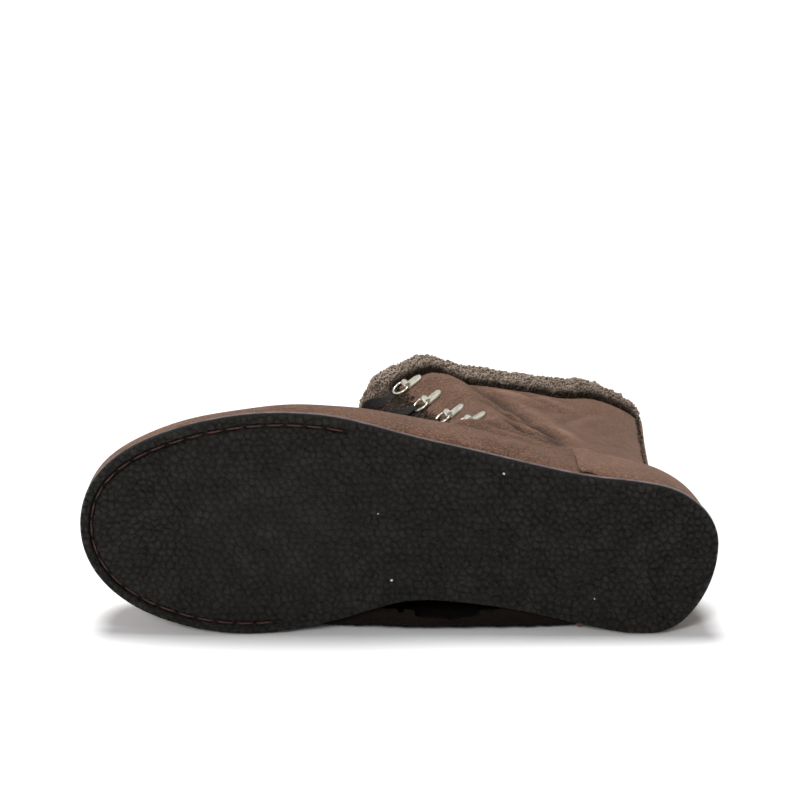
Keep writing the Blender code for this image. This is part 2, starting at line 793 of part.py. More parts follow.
def lace_crossing(start, end, strand, start_lift):
    """Places between two D-rings, over the tongue round the front of the boot.

    A run leaves one ring over its bow and comes to the next one from below. It is pulled taut
    wherever a straight line clears the tongue. strand is 1 or -1 for the lace's two ends, which
    cross at slightly different heights.
    """
    count = 7
    ends = []
    for loop in (start, end):
        clear = arc_step(loop.row, loop.angle, RING_DEPTH + LACE_WIDTH)
        ends.append(math.copysign(math.pi - abs(loop.angle) - clear, loop.angle))
    chord = [loop.frame @ Vector((RING_DEPTH, 0, 0)) for loop in (start, end)]
    outward = skin_normal(start.row, start.angle) + skin_normal(end.row, end.angle)
    across = (chord[1] - chord[0]).cross(outward)
    path = []
    for k in range(1, count):
        share = k / count
        from_pole = mix(*ends, (k - 1) / (count - 2))
        angle = math.copysign(math.pi - abs(from_pole), from_pole)
        row = row_in_plane(angle, chord[0].lerp(chord[1], share), across, start.row, end.row)
        lift = mix(start_lift, LACE_REST, share) + LACE_BOW * math.sin(math.pi * share)
        depth = WALL - LACE_THICKNESS / 2 - lift
        gather = WRAP_SHARE if k in (1, count - 1) else 1.0
        path.append([under(row, angle, depth), skin_normal(row, angle), gather, 1.0])
    for loop, at, first in ((start, 0, start_lift > LACE_REST), (end, count, False)):
        wrap = ring_wrap(loop)[:: -1 if first else 1]
        place = wrap[1][0].lerp(wrap[0][0], PEG_PLACE)
        path.insert(at, [place, loop.frame.to_3x3() @ Vector((0, 0, 1)), PEG_SHARE * WRAP_SHARE, PEG_SHARE])
    for _ in range(TAUT_ROUNDS):
        for before, stop, after in zip(path, path[1:], path[2:]):
            slack = ((before[0] + after[0]) / 2 - stop[0]).dot(stop[1])
            stop[0] = stop[0] + stop[1] * max(0.0, slack)
    for k, stop in enumerate(path[1:-1], start=1):
        stop[0] = stop[0] + stop[1] * strand * LACE_THICKNESS / 4 * math.sin(math.pi * k / count)
    for k, stop in enumerate(path):
        travel = path[min(k + 1, len(path) - 1)][0] - path[max(k - 1, 0)][0]
        stop[1] = stop[1].cross(travel).normalized()
    return path


def lace_strip(path):
    """A flat strip of lace: each stop is a place, its width's way, and width and thickness shares."""
    bm = bmesh.new()
    rows = []
    facing = path[0][1]
    for k, (place, wide, width_share, thickness_share) in enumerate(path):
        travel = (path[min(k + 1, len(path) - 1)][0] - path[max(k - 1, 0)][0]).normalized()
        wide = -wide if wide.dot(facing) < 0 else wide
        facing = wide
        thick = travel.cross(wide).normalized() * thickness_share * LACE_THICKNESS / 2
        wide = wide * width_share * LACE_WIDTH / 2
        corners = (-wide - thick, wide - thick, wide + thick, -wide + thick)
        rows.append([bm.verts.new(place + corner) for corner in corners])
    for low, high in zip(rows, rows[1:]):
        for j in range(4):
            following = (j + 1) % 4
            bm.faces.new((low[j], low[following], high[following], high[j]))
    bm.faces.new(rows[0])
    bm.faces.new(rows[-1])
    bmesh.ops.triangulate(bm, faces=bm.faces[:])
    bmesh.ops.recalc_face_normals(bm, faces=bm.faces[:])
    return bm


def lace_strips(loops):
    """A bar across the lowest D-rings, each ring's turn, and the crossings up to the top pair."""
    strips = [lace_strip(lace_crossing(loops[-1][-1], loops[1][-1], 1, LACE_REST))]
    for k in range(LOOP_PAIRS):
        for side in (1, -1):
            strips.append(lace_strip(ring_wrap(loops[side][k])))
            if k:
                strand = side * (-1) ** k
                run = lace_crossing(loops[side][k], loops[-side][k - 1], strand, LACE_START)
                strips.append(lace_strip(run))
    return strips


def lace(loops):
    """The whole lace as one solid, its strips joined where they meet and cross."""
    first, *others = lace_strips(loops)
    whole = mesh_object("lace", first, cord_grey)
    strips = bpy.data.collections.new("lace_strips")
    cutters.children.link(strips)
    for number, bm in enumerate(others, start=1):
        mesh = bpy.data.meshes.new(f"lace_strip_{number}")
        bm.to_mesh(mesh)
        bm.free()
        strip = bpy.data.objects.new(mesh.name, mesh)
        strips.objects.link(strip)
        strip.parent = root
        strip.hide_render = True
        strip.display_type = "WIRE"
    join = whole.modifiers.new("strips", "BOOLEAN")
    join.operation = "UNION"
    join.operand_type = "COLLECTION"
    join.collection = strips
    return whole


def lay_down(objects):
    """Turns the boot on its medial side, with the origin under the middle of its box."""
    root.rotation_euler = (math.radians(90), 0, math.radians(180))
    bpy.context.view_layer.update()
    graph = bpy.context.evaluated_depsgraph_get()
    corners = []
    for obj in objects:
        mesh = bpy.data.meshes.new_from_object(obj.evaluated_get(graph))
        corners += [obj.matrix_world @ vertex.co for vertex in mesh.vertices]
        bpy.data.meshes.remove(mesh)
    low = Vector([min(corner[axis] for corner in corners) for axis in range(3)])
    high = Vector([max(corner[axis] for corner in corners) for axis in range(3)])
    root.location = (-(low.x + high.x) / 2, -(low.y + high.y) / 2, -low.z)


for old in list(bpy.data.objects):
    bpy.data.objects.remove(old)
parts = bpy.data.collections.new("mukluk_boot")
cutters = bpy.data.collections.new("cutters")
bpy.context.scene.collection.children.link(parts)
bpy.context.scene.collection.children.link(cutters)
root = bpy.data.objects.new("boot_on_its_side", None)
parts.objects.link(root)

suede = finish("suede", BROWN_SUEDE, 0.95)
dark_suede = finish("dark_suede", DARK_SUEDE, 0.95)
rubber = finish("rubber", BLACK_RUBBER, 0.6)
fleece = finish("fleece", FLEECE_BROWN, 1.0)
nickel = finish("nickel", NICKEL, 0.35, 1.0)
cord_grey = finish("lace_grey", LACE_GREY, 0.9)
sock = finish("insole_brown", INSOLE_BROWN, 0.95)

made = [outsole(), insole(), upper(), tongue(), heel_counter(), back_stay()]
made += [collar_fleece(), tongue_fleece()]
loops = {side: lacing_loops(side) for side in (1, -1)}
for side, word in ((1, "lateral"), (-1, "medial")):
    for number, loop in enumerate(loops[side], start=1):
        made.append(clamp(f"clamp_{word}_{number}", loop.frame))
        made.append(d_ring(f"d_ring_{word}_{number}", loop.frame))
made.append(lace(loops))
lay_down(made)
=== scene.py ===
# %% [markdown]
# # A left mukluk boot, lying on its inner side
#
# The boot is soft suede lined with fleece, on a flat sheet of crepe rubber, and lies with its
# sole towards us. The CAD model gives every piece its place. This lesson dresses it: each soft
# piece is copied from its solid, given an even skin, creased or made shaggy, and coloured.

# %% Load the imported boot
import math

import bpy
import numpy as np
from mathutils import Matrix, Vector, bvhtree, kdtree
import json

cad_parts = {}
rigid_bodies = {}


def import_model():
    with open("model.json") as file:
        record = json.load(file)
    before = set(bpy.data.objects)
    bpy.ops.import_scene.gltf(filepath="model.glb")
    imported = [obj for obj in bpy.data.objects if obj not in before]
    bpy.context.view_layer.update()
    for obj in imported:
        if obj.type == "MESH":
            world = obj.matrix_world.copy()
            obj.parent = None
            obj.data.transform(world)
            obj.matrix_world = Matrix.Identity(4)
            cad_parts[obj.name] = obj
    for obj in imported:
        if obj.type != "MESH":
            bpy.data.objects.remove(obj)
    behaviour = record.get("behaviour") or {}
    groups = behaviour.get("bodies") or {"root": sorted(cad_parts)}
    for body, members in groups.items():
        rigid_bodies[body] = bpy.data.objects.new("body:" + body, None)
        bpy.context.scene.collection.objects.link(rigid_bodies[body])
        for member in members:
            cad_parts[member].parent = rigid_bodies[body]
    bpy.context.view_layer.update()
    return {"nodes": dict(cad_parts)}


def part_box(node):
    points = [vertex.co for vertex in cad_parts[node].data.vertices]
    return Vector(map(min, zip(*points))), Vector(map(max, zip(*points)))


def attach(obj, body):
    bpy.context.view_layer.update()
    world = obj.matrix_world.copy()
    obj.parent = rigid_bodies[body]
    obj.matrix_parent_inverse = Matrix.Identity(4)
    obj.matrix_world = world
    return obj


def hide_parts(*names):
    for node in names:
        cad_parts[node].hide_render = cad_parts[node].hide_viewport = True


for leftover in list(bpy.data.objects):
    bpy.data.objects.remove(leftover)
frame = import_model()

# %% [markdown]
# A shoemaker measures a boot standing up: x from the back of the heel to the toe, y from the
# inner side to the outer side and z up from the tread. The boot lies on its side here, so two
# short functions turn one kind of place into the other. They take the heel's back, the tread
# and the floor from the outsole's own box.

# %% Standing and lying places
sole_low, sole_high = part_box("outsole")
HEEL_BACK, TREAD_LEVEL = sole_high.x, sole_low.y
SOLE_LENGTH = 1000 * (sole_high.x - sole_low.x)


def standing(points):
    """Lying row places, as an array of points, to places on the standing boot in millimetres."""
    points = np.asarray(points, float)
    return 1000 * np.stack(
        (HEEL_BACK - points[..., 0], points[..., 2], points[..., 1] - TREAD_LEVEL), axis=-1
    )


def lying(points):
    """Places on the standing boot in millimetres to lying row places in metres."""
    points = np.asarray(points, float) / 1000
    return np.stack(
        (HEEL_BACK - points[..., 0], points[..., 2] + TREAD_LEVEL, points[..., 1]), axis=-1
    )


print("the sole is", round(SOLE_LENGTH), "mm long")

# %% [markdown]
# Every later cell selects one object, reads its points as an array, moves them and writes them
# back. These helpers keep that short. The second group measures places against a way.

# %% Helpers for objects and their points
def select_only(piece):
    """Selects one object alone and makes it the active one."""
    if bpy.context.object and bpy.context.object.mode != "OBJECT":
        bpy.ops.object.mode_set(mode="OBJECT")
    bpy.ops.object.select_all(action="DESELECT")
    piece.select_set(True)
    bpy.context.view_layer.objects.active = piece


def linked(name, data):
    """A new object for a mesh, a lamp or a camera."""
    thing = bpy.data.objects.new(name, data)
    bpy.context.scene.collection.objects.link(thing)
    return thing


def points_of(piece):
    places = np.empty(3 * len(piece.data.vertices))
    piece.data.vertices.foreach_get("co", places)
    return places.reshape(-1, 3)


def cad_places(node):
    return standing(points_of(frame["nodes"][node]))


def place_points(piece, places):
    piece.data.vertices.foreach_set("co", np.asarray(places, float).ravel())
    piece.data.update()


def keep_values(piece, name, values):
    """Stores a number for each point of a piece, for its finish to read."""
    piece.data.attributes.new(name, "FLOAT", "POINT").data.foreach_set("value", values)


def standing_normals(piece):
    directions = np.empty(3 * len(piece.data.vertices))
    piece.data.vertex_normals.foreach_get("vector", directions)
    x, y, z = directions.reshape(-1, 3).T
    return np.stack((-x, z, y), axis=1)


def apply_modifier(piece, kind, **settings):
    """Adds one modifier with these settings and applies it."""
    select_only(piece)
    modifier = piece.modifiers.new(kind.title(), kind)
    for name, value in settings.items():
        setattr(modifier, name, value)
    bpy.ops.object.modifier_apply(modifier=modifier.name)


def count(piece):
    return sum(len(face.vertices) - 2 for face in piece.data.polygons)

# %% Helpers that measure
def smooth_step(value, low, high):
    """0 below low, 1 above high, and a soft step between. low may be above high."""
    share = np.clip((value - low) / (high - low), 0, 1)
    return share * share * (3 - 2 * share)


def swell(value, at, width):
    """1 at one value and falling to 0 on both sides of it."""
    return np.exp(-(((value - at) / width) ** 2))


def blended(start, end, share):
    return start * (1 - share) + end * share


def run_lengths(way):
    """How far along a way each of its points is."""
    return np.concatenate(([0], np.cumsum(np.linalg.norm(np.diff(way, axis=0), axis=1))))


def nearest_on(way, places):
    """From a way's nearest point: the gap, how far, how far along, and 1 on its left or -1."""
    way = np.array(way, float)
    travelled = run_lengths(way)
    gaps, best = np.zeros(places.shape), np.full(len(places), 1e9)
    at, sides = np.zeros(len(places)), np.zeros(len(places))
    for k, (start, end) in enumerate(zip(way, way[1:])):
        along = end - start
        share = np.clip((places - start) @ along / (along @ along), 0, 1)
        gap = places - (start + share[:, None] * along)
        far = np.linalg.norm(gap, axis=1)
        closer = far < best
        best[closer], gaps[closer] = far[closer], gap[closer]
        at[closer] = blended(travelled[k], travelled[k + 1], share)[closer]
        turned = along[0] * gap[:, 1] - along[1] * gap[:, 0]
        sides[closer] = np.where(turned < 0, -1, 1)[closer]
    return gaps, best, at, sides


def tree_of(points):
    """A tree that finds which of these points are nearest to a place."""
    tree = kdtree.KDTree(len(points))
    for k, point in enumerate(points):
        tree.insert(point, k)
    tree.balance()
    return tree

# %% [markdown]
# A CAD solid is exact but it is made of long thin triangles. A merged copy of it, rounded by a
# subdivision surface and then remeshed, has small even faces that can take creases and pile.
# What has no CAD solid to copy is laid out as rows of points on a grid.

# %% Copy a CAD solid, give it an even skin, or lay out a grid
def edit_merged(piece, distance):
    """Opens a piece for editing, all of it selected, with what meets merged."""
    select_only(piece)
    bpy.ops.object.mode_set(mode="EDIT")
    bpy.ops.mesh.select_all(action="SELECT")
    bpy.ops.mesh.remove_doubles(threshold=distance)


def copy_of(node, name, rounds=2):
    """A merged, rounded copy of a CAD solid, in quads."""
    mesh = frame["nodes"][node].data.copy()
    mesh.materials.clear()
    piece = linked(name, mesh)
    select_only(piece)
    if mesh.has_custom_normals:
        bpy.ops.mesh.customdata_custom_splitnormals_clear()
    edit_merged(piece, 1e-6)
    bpy.ops.mesh.tris_convert_to_quads(
        face_threshold=math.radians(35), shape_threshold=math.radians(80)
    )
    bpy.ops.object.mode_set(mode="OBJECT")
    if rounds:
        apply_modifier(piece, "SUBSURF", levels=rounds, render_levels=rounds)
    return piece


def even_skin(piece, size, smoothing):
    """Remeshes a closed piece into even quads of one size and smooths what that stepped."""
    piece.data.remesh_voxel_size = size
    piece.data.remesh_voxel_adaptivity = 0
    select_only(piece)
    bpy.ops.object.voxel_remesh()
    apply_modifier(piece, "SMOOTH", factor=0.5, iterations=smoothing)
    bpy.ops.object.shade_smooth()


def closed(rows):
    """Rows of a grid with their first column repeated after the last."""
    return np.concatenate((rows, rows[:, :1]), axis=1)


def grid_piece(name, places):
    """A grid primitive whose rows of points are put at these standing places."""
    row_count, column_count = places.shape[:2]
    bpy.ops.object.select_all(action="DESELECT")
    bpy.ops.mesh.primitive_grid_add(x_subdivisions=column_count - 1, y_subdivisions=row_count - 1)
    piece = bpy.context.object
    piece.name = name
    place_points(piece, lying(places.reshape(-1, 3)))
    return piece


def weld(piece, distance=2e-5):
    """Merges what meets and turns all the faces of a closed piece outwards."""
    edit_merged(piece, distance)
    bpy.ops.mesh.normals_make_consistent(inside=False)
    bpy.ops.object.mode_set(mode="OBJECT")
    bpy.ops.object.shade_smooth()

# %% [markdown]
# The sole is a sheet of crepe rubber, cut to the foot's outline. Its tread has small uneven
# grains, which need faces well under a millimetre, in rows that follow the edge so that the
# seam's channel stays crisp. So its skin is a grid: one way goes round the outline, and the
# other down the side, round the edge and in to the middle line of the foot.

# %% The sole's outline and lift, read from the CAD sole
sole_cad = copy_of("outsole", "sole_guide", rounds=0)
guide = standing(points_of(sole_cad))
bpy.data.objects.remove(sole_cad)


def sole_lift(x):
    """How far the tread is off its plane: the arch and the toe spring, in millimetres."""
    along = x / SOLE_LENGTH
    arch = smooth_step(along, 0.24, 0.40) * smooth_step(along, 0.60, 0.48)
    spring = np.clip((along - 0.76) / 0.24, 0, None)
    return 1.5 * arch + 6 * spring**2


MIDDLE = np.array((134.0, 48.0))
SIDE_BAND = 4.6, 5.35  # levels of the CAD sole's side that hold its true outline
height = guide[:, 2] - sole_lift(guide[:, 0])
side_loop = guide[(height > SIDE_BAND[0]) & (height < SIDE_BAND[1])]
edge_turns = np.arctan2(side_loop[:, 1] - MIDDLE[1], side_loop[:, 0] - MIDDLE[0])
edge_reaches = np.hypot(side_loop[:, 1] - MIDDLE[1], side_loop[:, 0] - MIDDLE[0])
order = np.argsort(edge_turns)
edge_turns, edge_reaches = edge_turns[order], edge_reaches[order]
print(len(edge_turns), "points on the sole's edge")


def through(knots, values, at):
    """A smooth closed curve through values at rising angles, read at other angles."""
    whole = 2 * math.pi
    knots = np.concatenate((np.array(knots[-2:]) - whole, knots, np.array(knots[:3]) + whole))
    values = np.concatenate((values[-2:], values, values[:3]))
    k = np.clip(np.searchsorted(knots, at) - 1, 1, len(knots) - 3)
    span = knots[k + 1] - knots[k]
    rise = (values[k + 1] - values[k - 1]) / (knots[k + 1] - knots[k - 1]) * span
    fall = (values[k + 2] - values[k]) / (knots[k + 2] - knots[k]) * span
    u = (at - knots[k]) / span
    return (
        (2 * u**3 - 3 * u**2 + 1) * values[k]
        + (u**3 - 2 * u**2 + u) * rise
        + (3 * u**2 - 2 * u**3) * values[k + 1]
        + (u**3 - u**2) * fall
    )


def sole_edge(columns):
    """Evenly spaced points round the sole's edge, with their inward directions."""
    turns = np.linspace(-math.pi, math.pi, 8001)[:-1]
    reaches = through(edge_turns, edge_reaches, turns)
    ring = MIDDLE + np.stack((np.cos(turns), np.sin(turns)), axis=1) * reaches[:, None]
    ring = np.vstack((ring, ring[:1]))
    travelled = run_lengths(ring)
    wanted = np.linspace(0, travelled[-1], columns, endpoint=False)
    edge = np.stack([np.interp(wanted, travelled, ring[:, n]) for n in (0, 1)], axis=1)
    tangent = np.roll(edge, -2, axis=0) - np.roll(edge, 2, axis=0)
    tangent /= np.linalg.norm(tangent, axis=1)[:, None]
    return edge, np.stack((-tangent[:, 1], tangent[:, 0]), axis=1)

# %% [markdown]
# The grains are cells round scattered seeds: each point of the tread finds its nearest and its
# second nearest seed, and where the two are equally far there is a crack between two grains.
# A grid of seeds that are each pushed off their place by chance looks even but not ruled.

# %% Grains of the crepe tread
chance = np.random.default_rng(11)


def scattered_seeds(low, high, pitch):
    """Seeds on a honeycomb over a rectangle, each pushed off its place."""
    xs = np.arange(low[0], high[0], pitch)
    ys = np.arange(low[1], high[1], pitch * 0.87)
    grid_x, grid_y = np.meshgrid(xs, ys)
    grid_x[::2] += pitch / 2
    seeds = np.stack((grid_x.ravel(), grid_y.ravel()), axis=1)
    return seeds + chance.uniform(-0.36, 0.36, seeds.shape) * pitch


def grains(places, pitch, crack):
    """1 on a grain's top and 0 in the crack between grains, and a chance height a grain."""
    seeds = scattered_seeds(places.min(0) - 2 * pitch, places.max(0) + 2 * pitch, pitch)
    tree = tree_of([(x, y, 0) for x, y in seeds])
    own = chance.random(len(seeds))
    leans = chance.normal(0, 0.16, (len(seeds), 2))
    tops, owners = np.empty(len(places)), np.empty(len(places))
    for k, (x, y) in enumerate(places):
        first, second = tree.find_n((x, y, 0), 2)
        dome = 1 - min(1, first[2] / (0.75 * pitch)) ** 2
        tops[k] = min(1, (second[2] - first[2]) / crack) ** 0.7 * (0.5 + 0.5 * dome)
        seed = first[1]
        owners[k] = own[seed] + leans[seed] @ (places[k] - seeds[seed])
    return tops, owners

# %% [markdown]
# The grid's first rows are a table of the sole's edge: how far in from the outline, and how
# high over the tread. The rows after it shrink to the middle line of the foot. Then the grains
# are pressed in, lower where the ball has worn them, and the channel is cut through them.

# %% Outsole
SOLE_COLUMNS, TREAD_ROWS = 1000, 52
SOLE_TOP = 5.45
SIDE_PROFILE = (
    # inset, height
    (6.0, SOLE_TOP), (1.0, 5.5), (0.25, 5.4), (0.0, 5.1), (0.0, 4.2), (0.0, 3.2), (0.0, 2.2),
    (0.0, 1.3), (0.08, 0.8), (0.25, 0.4), (0.55, 0.14),
    *((inset, 0.0) for inset in (1.0, 1.7, 2.4, 3.0, 3.5, 3.9, 4.3, 4.7, 5.1, 5.5, 5.9, 6.5)),
)
SPINE_BACK, SPINE_FRONT = 31, 226
GRAIN_PITCH, GRAIN_CRACK = 3.3, 1.9
CHANNEL_INSET, CHANNEL_WIDTH = 4.7, 1.0
CHANNEL_START_OUTER, CHANNEL_START_INNER = 0.57, 0.68
TOE_SHARES = 0.78, 0.90

edge, inwards = sole_edge(SOLE_COLUMNS)
rows = [
    np.column_stack((edge + inwards * inset, np.full(SOLE_COLUMNS, z))) for inset, z in SIDE_PROFILE
]
stations = np.linspace(SPINE_BACK, SPINE_FRONT, 60)
middles = []
for station in stations:
    near = edge[np.abs(edge[:, 0] - station) < 1.2]
    middles.append((near[:, 1].min() + near[:, 1].max()) / 2)
spine_x = edge[:, 0].clip(SPINE_BACK, SPINE_FRONT)
spine = np.column_stack((spine_x, np.interp(spine_x, stations, middles), np.zeros(SOLE_COLUMNS)))
rim = rows[-1]
rows += [blended(rim, spine, k / TREAD_ROWS) for k in range(1, TREAD_ROWS + 1)]
skin_rows = np.array(rows)
print("outsole grid", skin_rows.shape[:2])
profile_height = skin_rows[..., 2].copy()
tread_share = smooth_step(profile_height, 0.5, 0.0)
skin_rows[..., 2] += sole_lift(skin_rows[..., 0])

insets = np.array([inset for inset, z in SIDE_PROFILE] + [9.0] * TREAD_ROWS)[:, None]
along_sole = edge[:, 0] / SOLE_LENGTH
channel_start = np.where(edge[:, 1] > MIDDLE[1], CHANNEL_START_OUTER, CHANNEL_START_INNER)
channel = smooth_step(along_sole, channel_start - 0.01, channel_start + 0.01)
deeper = 0.75 + 0.6 * smooth_step(along_sole, *TOE_SHARES)
groove = np.exp(-(((insets - CHANNEL_INSET) / CHANNEL_WIDTH) ** 4)) * (channel * deeper)[None, :]
in_groove = groove.clip(0, 1)
tops, owners = grains(skin_rows[..., :2].reshape(-1, 2), GRAIN_PITCH, GRAIN_CRACK)
tops, owners = tops.reshape(tread_share.shape), owners.reshape(tread_share.shape)
worn = swell(skin_rows[..., 0], 190, 42) * swell(skin_rows[..., 1], MIDDLE[1], 24)
raised = (0.65 + 0.75 * owners) * (1 - 0.45 * worn)
skin_rows[..., 2] -= tread_share * (tops * raised * (1 - 0.8 * in_groove) - 0.35 - 1.2 * groove)

top_rows = [blended(rows[0], spine + (0, 0, SOLE_TOP), share) for share in (1.0, 0.5)]
for row in top_rows:
    row[:, 2] += sole_lift(row[:, 0])
outsole = grid_piece("outsole_skin", closed(np.concatenate((np.array(top_rows), skin_rows))))
# the mask of the paler strip on the sole's side, partly its own colour and partly painted reflection of the
# light from above
strip_foot = (2.3 + 1.7 * smooth_step(edge[:, 0], 190, 240))[None, :]
strip = smooth_step(profile_height, strip_foot - 0.3, strip_foot + 0.3)
for name, on_top, share in (("grain", 0, tops * tread_share * (1 - in_groove)), ("side", 1, strip)):
    share = np.concatenate((np.full((2, SOLE_COLUMNS), on_top), share))
    keep_values(outsole, name, closed(share).ravel())
weld(outsole)
print("outsole", count(outsole), "triangles")

# %% [markdown]
# A thread is sewn through the sole round the toe, in the channel that was cut for it. Each
# stitch is a short bar that sinks at both its ends. One bar is made and a copy is put at every
# eighth millimetre of the channel.

# %% Stitches of the channel
STITCH_PITCH, STITCH_ENDS = 8.4, (0.5, 7.5)


def bar_points(start, end, out, radius, sag, rings=7, sides=6):
    """The rings of one stitch from start to end, sunk at both ends, as (rings, sides, 3)."""
    along = end - start
    across = np.cross(along, out)
    across /= np.linalg.norm(across)
    turns = np.arange(sides)[:, None] * 2 * math.pi / sides
    round_it = np.cos(turns) * across + 0.75 * np.sin(turns) * out
    made = []
    for k in range(rings):
        share = k / (rings - 1)
        middle = start + along * share - out * sag * (2 * share - 1) ** 4
        wide = radius * (0.35 + 0.65 * math.sin(math.pi * min(max(share, 0.06), 0.94)) ** 0.4)
        made.append(middle + wide * round_it)
    return np.array(made)


def joined_tubes(name, tubes):
    """One mesh of many short tubes, each rows of points round it, closed at both ends."""
    tubes = np.array(tubes)
    rings, sides = tubes.shape[1:3]
    after = [(n + 1) % sides for n in range(sides)]
    tube = [
        [start + n, start + after[n], start + sides + after[n], start + sides + n]
        for start in range(0, (rings - 1) * sides, sides)
        for n in range(sides)
    ]
    tube += [list(reversed(range(sides))), list(range((rings - 1) * sides, rings * sides))]
    starts = range(0, len(tubes) * rings * sides, rings * sides)
    mesh = bpy.data.meshes.new(name)
    faces = [[start + n for n in face] for start in starts for face in tube]
    mesh.from_pydata(lying(tubes.reshape(-1, 3)).tolist(), [], faces)
    return linked(name, mesh)


seam_way = np.column_stack((edge + inwards * CHANNEL_INSET, np.zeros(SOLE_COLUMNS)))
seam_way[:, 2] = sole_lift(seam_way[:, 0])
begin = int(np.argmax(channel < 0.5))
while channel[begin] < 0.5:
    begin = (begin + 1) % SOLE_COLUMNS
seam_way = np.roll(seam_way, -begin, axis=0)[: int((channel > 0.5).sum())]
seam_steps = run_lengths(seam_way)
down = np.array((0.0, 0.0, -1.0))
sole_bars = []
for at in np.arange(3.0, seam_steps[-1] - 8.0, STITCH_PITCH):
    start, end = (
        np.array([np.interp(at + reach, seam_steps, seam_way[:, n]) for n in range(3)])
        for reach in STITCH_ENDS
    )
    depth = 0.55 + 0.7 * smooth_step(0.5 * (start[0] + end[0]) / SOLE_LENGTH, *TOE_SHARES)
    sole_bars.append(bar_points(start - down * depth, end - down * depth, down, 0.5, 0.6))
sole_stitches = joined_tubes("sole_stitches", sole_bars)
weld(sole_stitches, 1e-7)
print(len(sole_bars), "stitches in the sole")

# %% [markdown]
# The upper is one wall, suede outside and fleece inside. A line is run through the middle of
# the foot and up the shaft: where the skin looks towards that line it is lining, and where it
# looks away it is suede.

# %% Upper skin
AXIS = (
    (228, 46, 20), (185, 48, 26), (140, 46, 36), (105, 42, 48), (84, 36, 78), (78, 33, 120),
    (82, 32, 205),
)


def from_axis(places):
    """Directions from the nearest point of the boot's middle line to standing places."""
    gaps, far, _, _ = nearest_on(AXIS, places)
    return gaps / far[:, None]


upper = copy_of("upper", "upper_skin")
even_skin(upper, 0.0014, 8)
facing = (standing_normals(upper) * from_axis(standing(points_of(upper)))).sum(axis=1)
lining = smooth_step(facing, 0.05, -0.25)
keep_values(upper, "lining", lining)
print("upper", count(upper), "triangles")

# %% [markdown]
# A slumped shaft creases where it bends, and each crease is a soft trough with a swelling
# beside it. Each is one row of a table: its way over the boot's side as x and z, how deep and
# wide the trough is, and how high and how far to its left the swelling is. The whole wall
# moves, so the lining creases with the suede.

# %% Creases of the outer side
OUTER_CREASES = (
    # way, depth, width, swelling, its distance
    (
        ((112, 196), (101, 183), (93, 168), (87, 153), (82, 138), (76, 124), (70, 107), (64, 82), (60, 62)),
        2.4, 4.4, 0.9, -8.5,
    ),
    (((104, 158), (97, 146), (91, 134), (85, 118), (79, 92), (73, 72)), 1.3, 3.2, 0.6, -6.0),
    (((97, 124), (85, 121), (74, 112), (66, 97), (58, 76)), 1.7, 2.8, 0.9, -5.0),
    (((94, 103), (83, 99), (71, 85), (59, 71)), 1.5, 2.4, 0.8, -4.4),
    (((100, 81), (88, 81), (76, 77), (61, 69)), 1.1, 2.2, 0.7, 4.2),
    (((112, 196), (100, 188), (88, 182), (72, 179), (56, 182)), 1.0, 6.0, 0.7, 10.0),
    (((92, 170), (78, 160), (66, 152), (52, 150)), 0.7, 5.0, 0.5, -7.0),
    (((63, 117), (54, 142), (45, 161), (33, 175)), 0.9, 3.0, 0.8, 5.2),
    (((50, 123), (41, 146), (33, 164), (23, 180)), 1.1, 2.6, 0.8, 4.6),
    (((47, 105), (36, 138), (26, 165), (19, 184)), 1.1, 2.6, 0.8, 4.6),
    (((54, 89), (42, 98), (29, 117)), 1.2, 2.6, 0.8, 4.2),
    (((46, 74), (34, 82), (22, 100)), 0.9, 2.8, 0.6, 4.6),
    (((79, 196), (70, 167), (58, 155), (46, 156)), 0.9, 3.2, 0.7, -5.0),
    (((113, 170), (107, 144), (103, 120)), 0.8, 3.0, 0.5, -5.0),
)
INNER_CREASES = (
    (((112, 150), (96, 132), (82, 112), (66, 92), (50, 82)), 1.0, 4.6, 0.4, -7.0),
    (((104, 104), (90, 92), (74, 78), (58, 70)), 0.9, 4.0, 0.4, -6.0),
    (((44, 92), (34, 112), (26, 140)), 0.6, 4.0, 0.3, 6.0),
)


def creased(places, table):
    """How far each place moves out, in millimetres, for a table of creases."""
    moved = np.zeros(len(places))
    for way, depth, width, swelling, distance in table:
        _, far, at, side = nearest_on(way, places[:, (0, 2)])
        length = run_lengths(way)[-1]
        ends = smooth_step(at, 0, 0.28 * length) * smooth_step(at, length, 0.78 * length)
        ridge = swelling * swell(far * side, distance, 1.3 * width)
        moved += ends * (ridge - depth * swell(far * side, 0, width))
    return moved

# %% [markdown]
# The boot lies on the inner side of its foot and of its collar. Between them, beside the arch,
# the wall is too soft to bridge the gap and hangs down to the floor. So the wall's height over
# the floor is read off on a grid, and later each place sinks by what the grid says there.

# %% How high the inner wall is over the floor
BELLY_STEP = 4.0
belly_stations = np.arange(20.0, 252.0, BELLY_STEP)
belly_levels = np.arange(5.0, 61.0, BELLY_STEP)
wall = standing(points_of(upper))
belly_heights = np.zeros((len(belly_levels), len(belly_stations)))
for k, level in enumerate(belly_levels):
    for n, station in enumerate(belly_stations):
        near = (np.abs(wall[:, 0] - station) < 3) & (np.abs(wall[:, 2] - level) < 2.2)
        belly_heights[k, n] = wall[near, 1].min() if near.any() else 0


def wall_height(places):
    """How high the inner wall is over the floor at these places' x and z, in millimetres."""
    row, column = (
        np.clip((places[:, axis] - marks[0]) / BELLY_STEP, 0, len(marks) - 1.001)
        for axis, marks in ((2, belly_levels), (0, belly_stations))
    )
    r, c = row.astype(int), column.astype(int)
    low = blended(belly_heights[r, c], belly_heights[r, c + 1], column - c)
    high = blended(belly_heights[r + 1, c], belly_heights[r + 1, c + 1], column - c)
    return blended(low, high, row - r)


print("the inner wall stands up to", round(belly_heights.max(), 1), "mm over the floor")

# %% Slump the wall
THROAT_RIDGE = (
    (121, 202), (114, 183), (107, 164), (99, 143), (92, 122), (88, 106), (94, 90), (106, 82),
)


